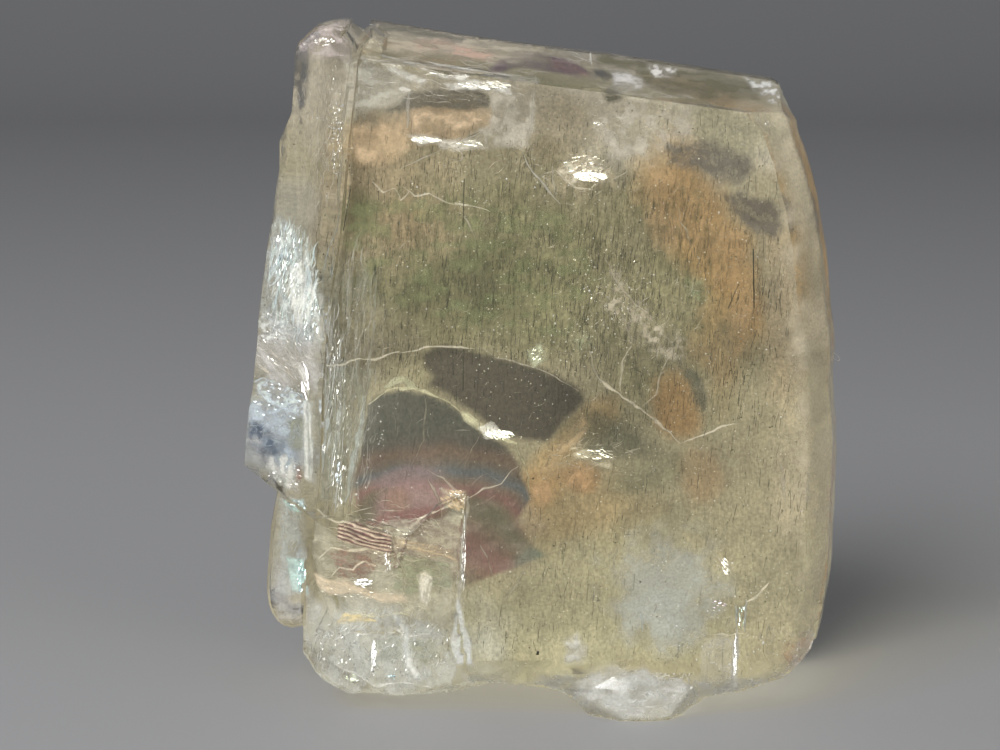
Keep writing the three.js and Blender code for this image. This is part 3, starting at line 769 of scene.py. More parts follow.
# Lines of bright cracks: width, depth of the near edge, how far back they go, colour, cover, points.
CRACKS = [
    # the bent crack right of the middle, and its side branches
    (0.09, 1.2, 0.5, CREAM, 0.85, [(1.3, 11.2), (1.55, 10.42), (1.98, 10.02), (2.79, 9.5), (3.42, 8.94),
        (3.94, 8.48)]),
    (0.05, 1.2, 0.3, CREAM, 0.75, [(3.94, 8.48), (4.51, 8.68), (5.14, 8.94), (5.63, 9.09)]),
    (0.05, 1.3, 0.4, CREAM, 0.5, [(2.79, 9.56), (3.22, 9.9), (3.36, 10.57), (3.59, 11.14)]),
    (0.06, 1.3, 0.4, CREAM, 0.6, [(2.21, 9.88), (2.27, 10.85), (2.5, 11.49), (2.21, 12.26)]),
    (0.07, 1, 0.4, CREAM, 0.6, [(1.73, 13.89), (1.98, 13.25), (2.56, 12.58), (2.93, 12.32)]),
    (0.05, 1.2, 0.3, CREAM, 0.5, [(1.3, 11.2), (0.49, 11.14), (-0.37, 11.49)]),
    # across the left
    (0.07, 0.5, 0.3, CREAM, 0.7, [(-6.25, 10.74), (-5.68, 10.85), (-4.9, 10.97), (-4.1, 11.14)]),
    (0.05, 1, 0.3, CREAM, 0.75, [(-4.1, 11.14), (-3.38, 11.29), (-2.61, 11.32), (-1.8, 11.26)]),
    (0.045, 1.1, 0.3, CREAM, 0.5, [(-1.8, 11.26), (-1.03, 10.91), (-0.37, 10.74), (0.38, 10.45),
        (1.01, 9.99)]),
    # the bright ridge between the two windows
    (0.08, 2.2, 0.3, YELLOW, 0.55, [(-5.02, 9.64), (-4.67, 9.9), (-4.27, 10.13), (-3.76, 10.08),
        (-3.18, 9.88), (-2.67, 9.61)]),
    (0.2, 2.3, 0.3, (176, 176, 140), 0.7, [(-4.56, 10.16), (-4.04, 10.34), (-3.53, 10.11)]),
    (0.2, 2.2, 0.4, YELLOW, 0.95, [(-2.67, 9.61), (-2.23, 9.23), (-1.8, 8.94), (-1.34, 8.71),
        (-0.77, 8.48)]),
    (0.26, 2.1, 0.3, (240, 244, 214), 1, [(-1.86, 8.97), (-1.46, 8.83), (-1, 8.59)]),
    (0.07, 2.4, 0.5, YELLOW, 0.6, [(-0.83, 8.5), (-0.71, 8.15), (-0.43, 7.52), (-0.34, 6.8)]),
    # over the coloured rings
    (0.06, 0.9, 0.3, CREAM, 0.7, [(-3.33, 7.7), (-2.81, 7.37), (-2.32, 6.98), (-2.15, 6.8)]),
    (0.05, 0.9, 0.3, CREAM, 0.75, [(-2.15, 6.89), (-1.75, 7.07), (-1.23, 7.34), (-0.71, 7.79)]),
    (0.07, 0.9, 0.3, CREAM, 0.75, [(-4.82, 5.45), (-4.33, 5.81), (-3.81, 5.99), (-3.3, 6.38),
        (-2.89, 6.56)]),
    (0.04, 0.8, 0.3, CREAM, 0.45, [(-3.41, 10.05), (-3.38, 9.18), (-3.41, 8.59), (-3.76, 7.82)]),
    (0.03, 0.9, 0.2, CREAM, 0.4, [(-1.69, 9.03), (-2.03, 8.3), (-2.32, 7.55)]),
    # hairlines above
    (0.035, 0.5, 0.2, (150, 146, 130), 0.7, [(-4.16, 16.36), (-3.24, 16.78), (-2.32, 17.2),
        (-1.32, 17.73)]),
    (0.05, 0.6, 0.3, WHITE, 0.65, [(-0.66, 16.87), (-0.28, 16.33), (0.15, 15.77), (0.49, 15.43)]),
    (0.08, 1.2, 0.3, WHITE, 0.7, [(-0.25, 18.66), (-0.34, 17.79), (-0.46, 16.95)]),
    (0.07, 1.2, 0.3, WHITE, 0.75, [(-3.76, 18.57), (-3.78, 18.01), (-3.84, 17.57)]),
    (0.12, 1.2, 0.2, WHITE, 0.9, [(-4.04, 18.63), (-3.73, 18.63)]),
    (0.06, 0.8, 0.3, CREAM, 0.6, [(-5.48, 19.36), (-5.45, 18.63), (-5.54, 17.79)]),
    (0.05, 0.6, 0.1, CREAM, 0.6, [(-2.81, 16.98), (-2.61, 17.06), (-2.32, 16.95), (-2.21, 16.75),
        (-2.32, 16.58), (-2.55, 16.67), (-2.72, 16.81), (-2.81, 16.98)]),
    (0.06, 1.5, 0.3, CREAM, 0.5, [(0.66, 16.78), (1.35, 16.72), (1.75, 16.39), (1.84, 16.05)]),
    (0.06, 1.5, 0.3, CREAM, 0.5, [(0.26, 16.44), (0.55, 16.1), (0.89, 15.88), (1.41, 15.82)]),
    (0.05, 1.2, 0.3, CREAM, 0.6, [(1.98, 16.72), (1.7, 16.33), (1.41, 15.82)]),
    (0.08, 0.2, 0.2, WHITE, 0.9, [(1.3, 19.69), (1.3, 19.3)]),
    (0.05, 0.9, 0.3, CREAM, 0.6, [(3.74, 15.31), (3.82, 14.92), (4.05, 14.63), (4.22, 14.21)]),
    (0.05, 0.9, 0.3, WHITE, 0.5, [(0.23, 16.53), (0.21, 16.1), (0.38, 15.62)]),
    (0.05, 0.8, 0.2, CREAM, 0.6, [(-4.82, 16.1), (-4.53, 15.74), (-4.21, 15.85), (-4.04, 15.54),
        (-3.81, 15.82)]),
    (0.06, 0.8, 0.2, CREAM, 0.6, [(-3.96, 15.93), (-3.64, 15.65), (-3.24, 15.74), (-2.67, 15.45),
        (-1.95, 15.37), (-1.52, 15.2)]),
    (0.05, 0.9, 0.2, CREAM, 0.6, [(-2.32, 15.11), (-2.09, 14.74), (-1.98, 14.46)]),
    # the stained rim of the outline
    (0.05, 0.12, 0.2, (190, 150, 108), 0.45, [(7.15, 18.24), (7.61, 16.95), (8.01, 14.63), (8.27, 11.79),
        (8.41, 8.59), (8.3, 5), (8.01, 2.8)]),
    # below, on the right
    (0.13, 1.2, 0.3, CREAM, 0.9, [(5.08, 5.12), (5.26, 4.9), (5.46, 4.6)]),
    (0.1, 2, 0.4, CREAM, 0.5, [(6.86, 7.94), (6.92, 7.34), (6.98, 6.74)]),
    (0.08, 1, 0.2, COOL, 0.7, [(2.87, 3.38), (2.96, 3.11), (2.96, 2.83)]),
    (0.12, 0.3, 0.5, WHITE, 1, [(5.72, 2.86), (5.66, 2.1), (5.57, 0.96)]),
    (0.07, 0.5, 0.4, CREAM, 0.85, [(5.95, 3.69), (6.29, 3.96), (6.61, 4.27)]),
    (0.06, 0.4, 0.4, CREAM, 0.6, [(4.97, 2.65), (5.37, 2.77), (5.89, 2.77)]),
    (0.05, 0.4, 0.4, CREAM, 0.4, [(5, 2.65), (4.88, 1.94), (4.74, 1.03)]),
    (0.06, 0.4, 0.3, COOL, 0.8, [(6, 3.78), (5.95, 3.23), (5.89, 2.8)]),
    (0.05, 0.4, 0.3, COOL, 0.8, [(5.69, 3.66), (5.66, 3.23), (5.66, 2.8)]),
    (0.05, 1.6, 0.3, CREAM, 0.4, [(2.16, 5.45), (2.1, 5), (2.1, 4.54)]),
    (0.05, 1.6, 0.3, CREAM, 0.4, [(-1.8, 5.45), (-1.63, 5), (-1.46, 4.54)]),
    (0.09, 1.4, 0.3, CREAM, 0.5, [(-0.54, 4.69), (-0.77, 4.21), (-1.12, 3.66)]),
    # on the left slab: fans of cracks, and the light along its plates
    (0.07, 0.3, 0.3, CREAM, 0.8, [(-8.18, 10.8), (-7.95, 10.65), (-7.66, 10.45)]),
    (0.06, 0.3, 0.3, CREAM, 0.7, [(-8.06, 11.79), (-7.77, 11.26), (-7.43, 10.85), (-6.97, 10.22)]),
    (0.1, 0.3, 0.3, WHITE, 0.8, [(-7.83, 12.02), (-7.43, 11.35), (-6.97, 10.57), (-6.65, 9.93)]),
    (0.06, 0.3, 0.3, CREAM, 0.7, [(-7.4, 11.93), (-7.03, 11.2), (-6.74, 10.19)]),
    (0.05, 0.3, 0.25, COOL, 0.55, [(-8.23, 10.31), (-7.97, 10.42), (-7.31, 10.13), (-6.88, 9.82)]),
    (0.07, 0.25, 0.2, COOL, 0.85, [(-8.23, 10.13), (-7.95, 9.85), (-7.63, 9.61), (-7.31, 9.47),
        (-7, 9.26)]),
    (0.16, 0.2, 0.2, WHITE, 1, [(-6.97, 10.91), (-6.8, 10.34), (-6.68, 9.88)]),
    (0.06, 0.2, 0.15, WHITE, 0.75, [(-6.8, 9.76), (-6.74, 8.88), (-6.8, 8), (-6.83, 7.4)]),
    (0.14, 0.3, 0.4, (214, 222, 210), 0.85, [(-5.13, 9.88), (-5.31, 8.59), (-5.54, 7.4), (-5.71, 6.74)]),
    (0.09, 0.3, 0.3, (206, 206, 186), 0.8, [(-5.59, 10.05), (-5.76, 9.29), (-5.99, 8.3)]),
    (0.1, 0.3, 0.3, (206, 212, 204), 0.7, [(-6.11, 9.76), (-6.22, 8.59), (-6.4, 7.4)]),
    (0.07, 0.15, 0.6, (190, 190, 176), 0.7, [(-5.33, 20.03), (-5.54, 18.35), (-5.68, 16.67),
        (-5.94, 14.12)]),
    (0.09, 0.15, 0.8, (208, 214, 210), 0.8, [(-5.94, 14.12), (-6.17, 12.38), (-6.34, 10.34), (-6.42, 7.4)]),
    (0.06, 0.3, 0.4, COOL, 0.6, [(-5.71, 15.11), (-5.94, 14.55), (-6.2, 13.77), (-6.25, 12.67)]),
    (0.09, 0.3, 0.6, (198, 198, 180), 0.75, [(-4.73, 13.39), (-4.9, 11.2), (-5.19, 9.18), (-5.65, 6.2)]),
    (0.06, 0.5, 0.4, (196, 196, 180), 0.5, [(-5.68, 11.79), (-5.76, 9.76), (-6.05, 7.7), (-6.34, 6.2)]),
    (0.05, 0.4, 0.4, (190, 190, 176), 0.5, [(-5.19, 12.67), (-5.39, 10.34), (-5.54, 8.88), (-5.82, 6.8)]),
    (0.05, 0.5, 0.3, CREAM, 0.4, [(-4.5, 13.25), (-4.59, 11.79), (-4.67, 10.34)]),
    # the chipped corner
    (0.08, 0.3, 0.3, CREAM, 0.7, [(-6.57, 6.62), (-6.34, 6.32), (-5.88, 6.14), (-5.42, 6.2), (-4.9, 5.96),
        (-4.33, 5.78)]),
    (0.07, 0.3, 0.2, CREAM, 0.6, [(-6.51, 5), (-6.11, 5.36), (-5.65, 5.24), (-5.08, 5.36), (-4.44, 5.12),
        (-3.81, 5.24)]),
    (0.07, 0.3, 0.2, CREAM, 0.6, [(-4.33, 5.72), (-4.21, 5.12), (-3.99, 4.54), (-4.04, 3.84)]),
    (0.06, 0.4, 0.2, CREAM, 0.5, [(-3.41, 5.9), (-3.24, 5.24), (-2.95, 4.69), (-3.01, 4.08)]),
    (0.06, 0.3, 0.2, WHITE, 0.6, [(-6.11, 2.56), (-5.68, 2.86), (-5.1, 2.74), (-4.56, 2.98), (-3.96, 2.68),
        (-3.24, 2.74)]),
    (0.08, 0.2, 0.2, WHITE, 0.6, [(-6.34, 2.07), (-5.88, 1.7), (-5.48, 1.52), (-4.9, 1.21), (-4.1, 1.33),
        (-3.24, 1.15)]),
    (0.07, 0.3, 0.2, WHITE, 0.6, [(-3.24, 2.56), (-3.07, 1.94), (-2.72, 1.45)]),
    (0.08, 0.3, 0.3, CREAM, 0.6, [(-4.04, 3.81), (-3.76, 3.47), (-3.87, 3.11), (-4.16, 2.74)]),
    (0.07, 0.3, 0.2, CREAM, 0.75, [(-6.11, 4.51), (-5.88, 4.81), (-5.48, 4.69), (-5.19, 4.94),
        (-4.85, 4.81), (-5.02, 5.12)]),
    (0.1, 0.25, 0.5, WHITE, 0.9, [(-2.18, 6.92), (-2.29, 5.6), (-2.38, 4.54), (-2.46, 3.6)]),
    (0.14, 0.5, 0.3, CREAM, 0.9, [(-2.92, 7.19), (-2.72, 6.95), (-2.49, 6.89), (-2.21, 6.92)]),
    (0.1, 0.55, 0.3, CREAM, 0.8, [(-2.95, 6.5), (-2.69, 6.68), (-2.44, 6.83)]),
    (0.06, 0.6, 0.3, CREAM, 0.6, [(-3.3, 7.46), (-3.04, 6.86), (-2.95, 6.2)]),
    (0.06, 0.35, 0.3, CREAM, 0.6, [(-4.44, 5), (-4.1, 5.12), (-3.7, 4.94), (-3.35, 5)]),
    (0.08, 0.35, 0.3, YELLOW, 0.6, [(-5.68, 3.41), (-4.96, 3.29), (-4.1, 3.41), (-3.53, 3.17)]),
    # Painted highlight: this white streak stands in for a glint off the chipped corner.
    (0.13, 0.5, 0.3, WHITE, 0.9, [(-4.9, 2.62), (-4.93, 2.1), (-4.99, 1.58)]),
    (0.06, 0.6, 0.3, WHITE, 0.7, [(-4.04, 2.56), (-3.99, 1.94), (-3.76, 1.45)]),
    (0.07, 0.6, 0.3, CREAM, 0.6, [(-3.67, 3.78), (-2.95, 3.35), (-2.49, 2.74), (-2.32, 1.94)]),
    (0.06, 0.6, 0.3, WHITE, 0.6, [(-4.67, 5.36), (-4.62, 4.54), (-4.73, 4.02)]),
]
# Where fine hairlines gather: middle, radii, how many, their way from level and its spread in degrees,
# length, width, depth, colour, cover.
HAIRLINES = [
    ((0.49, 12.67), (6.6, 5.55), 420, 70, 50, 0.35, 0.022, 1.4, CREAM, 0.5),
    ((2.79, 12.38), (1.72, 1.46), 90, 60, 60, 0.4, 0.03, 1.2, CREAM, 0.6),
    ((0.49, 16.39), (2.01, 0.73), 60, 30, 50, 0.4, 0.028, 1.2, CREAM, 0.6),
    ((1.35, 8.15), (1.29, 0.47), 50, 12, 25, 0.4, 0.03, 1.6, CREAM, 0.6),
    ((3.07, 7.4), (1.44, 0.47), 40, -20, 25, 0.4, 0.025, 1.6, CREAM, 0.45),
    ((-5.25, 10.62), (0.52, 3.8), 260, 84, 9, 0.7, 0.026, 0.5, (206, 204, 186), 0.6),
    ((-5.97, 9.76), (0.26, 3.21), 140, 86, 6, 0.8, 0.03, 0.4, (220, 222, 212), 0.65),
    ((-6.25, 17.23), (0.75, 2.04), 200, 86, 10, 0.45, 0.024, 0.35, (204, 198, 180), 0.55),
    # Painted highlights: the next two near-white crowds stand in for the left slab's cleavage flash.
    ((-7.08, 13.19), (0.69, 1.69), 420, 82, 8, 0.5, 0.03, 0.25, (224, 238, 236), 0.8),
    ((-6.86, 12.96), (0.4, 1.05), 160, 82, 7, 0.5, 0.04, 0.2, (250, 252, 250), 0.95),
    ((-7.31, 11.03), (0.86, 0.93), 220, -52, 26, 0.45, 0.028, 0.25, (226, 222, 208), 0.75),
    ((-7.49, 8.88), (0.75, 1.28), 110, -40, 45, 0.35, 0.022, 0.3, (214, 224, 228), 0.6),
    ((-7.31, 5.45), (0.34, 1.52), 60, 80, 20, 0.3, 0.024, 0.25, (214, 226, 226), 0.6),
    ((-4.53, 5), (1.89, 1.81), 300, -14, 26, 0.5, 0.026, 0.4, (222, 214, 190), 0.65),
    ((-4.67, 2.31), (2.12, 1.17), 320, 78, 38, 0.32, 0.028, 0.3, (226, 228, 220), 0.7),
    ((2.79, 0.96), (2.41, 0.58), 260, 20, 60, 0.28, 0.026, 0.3, (224, 224, 218), 0.7),
    ((6.38, 2.1), (1.66, 0.88), 120, 50, 60, 0.28, 0.024, 0.35, (214, 208, 196), 0.6),
    ((-2.67, 18.91), (2.58, 0.64), 120, -6, 12, 0.5, 0.026, 0.8, (220, 214, 196), 0.6),
    ((1.64, 19.69), (5.74, 0.41), 150, -8, 14, 0.5, 0.022, 0.3, (196, 190, 176), 0.5),
    ((3.94, 17.79), (2.58, 0.88), 90, -12, 40, 0.35, 0.024, 0.9, (200, 194, 176), 0.5),
    ((7.38, 11.79), (0.75, 6.42), 110, 80, 40, 0.35, 0.02, 0.5, (196, 188, 164), 0.5),
    ((2.21, 3.78), (5.45, 1.75), 160, 75, 45, 0.35, 0.022, 1.4, (206, 200, 174), 0.4),
    ((-2.81, 6.2), (2.44, 1.75), 60, 20, 50, 0.5, 0.02, 1.2, (190, 176, 156), 0.4),
]


def cracks():
    """Ribbons that follow each line and go back from it: four points across, covered in the middle."""
    sections, faces, tints, covers, count = [], [], [], [], 0
    points_across = len(CRACK_COVER)
    across = np.linspace(-0.5, 0.5, points_across)
    for k, (width, depth, deep, colour, cover, path) in enumerate(CRACKS):
        line, run = resampled(path, CRACK_STEP)
        along = np.stack([run, 0 * run + 3.1 * k, 0 * run], -1)
        way = np.gradient(line, axis=0)
        side = np.stack([-way[:, 1], way[:, 0]], -1) / np.linalg.norm(way, axis=1)[:, None]
        line = line + side * (0.05 * layered(along, 0.5, CRACK_WANDER + k))[:, None]
        swell = 1.8 * width * (0.75 + 0.5 * noise(along, 0.3, CRACK_SWELL + k))
        swell *= 0.35 + 0.65 * fade(run, 0, 0.3 * run[-1])
        swell *= 0.35 + 0.65 * fade(run[-1] - run, 0, 0.3 * run[-1])
        spread = line[:, None] + side[:, None] * (swell[:, None] * across)[..., None]
        points = under_skin(spread[..., 0], spread[..., 1], depth + deep * (across + 0.5))
        sections.append(points.reshape(-1, 3))
        faces.append(grid_faces(len(line), points_across) + count)
        count += points_across * len(line)
        tints.append(np.ones((points_across * len(line), 3)) * shown(colour) * nearer(depth))
        broken = np.clip(cover * (0.85 + 0.4 * noise(along, 0.16, CRACK_BREAKS + k)), 0, 1)
        covers.append((broken[:, None] * CRACK_COVER).ravel())
    return piece_of(
        "cracks", np.concatenate(sections), np.concatenate(faces), FINE_LINE, margin=LINE_MARGIN,
        tint=np.concatenate(tints), cover=np.concatenate(covers),
    )


def hairlines():
    """Many short curved ribbons at once: the middle, plus the way times a run, turning by a bend."""
    rng = np.random.default_rng(HAIRLINE_SEED)
    x, z, wide, tall, way, spread, length, width, depth, *colour, cover = repeated(HAIRLINES)
    count = len(x)
    x, z = scattered(rng, count, x, z, wide, tall)
    turn = np.radians(way + spread * rng.normal(0, 1, count))
    length = length * rng.uniform(0.3, 1.5, count)
    width = width * rng.uniform(0.5, 1.3, count)
    along, across = (np.linspace(-0.5, 0.5, n) for n in (LINE_POINTS, len(LINE_COVER)))
    angle = turn[:, None] + rng.normal(0, 0.5, (count, 1)) * along
    line_x = x[:, None] + length[:, None] * along * np.cos(angle)
    line_z = z[:, None] + length[:, None] * along * np.sin(angle)
    thick = width[:, None] * (1.1 - 2.0 * np.abs(along))
    px = line_x[..., None] - (thick * np.sin(angle))[..., None] * across
    pz = line_z[..., None] + (thick * np.cos(angle))[..., None] * across
    sunk = (depth * rng.uniform(0.6, 1.6, count))[:, None, None] + 0.12 * across
    points = under_skin(px, pz, sunk + 0 * px)
    each = LINE_POINTS * len(LINE_COVER)
    faces = grid_faces(LINE_POINTS, len(LINE_COVER)) + each * np.arange(count)[:, None, None]
    tint = shown(np.stack(colour, -1)) * nearer(depth) * rng.uniform(0.75, 1.1, (count, 1))
    covered = (cover * rng.uniform(0.4, 1.2, count))[:, None, None] * LINE_COVER + 0 * px
    return piece_of(
        "hairlines", points, faces.reshape(-1, 4), FINE_LINE, margin=LINE_MARGIN,
        tint=np.repeat(tint, each, axis=0), cover=np.clip(covered, 0, 1),
    )


# ---- Films ------------------------------------------------------------------------------------

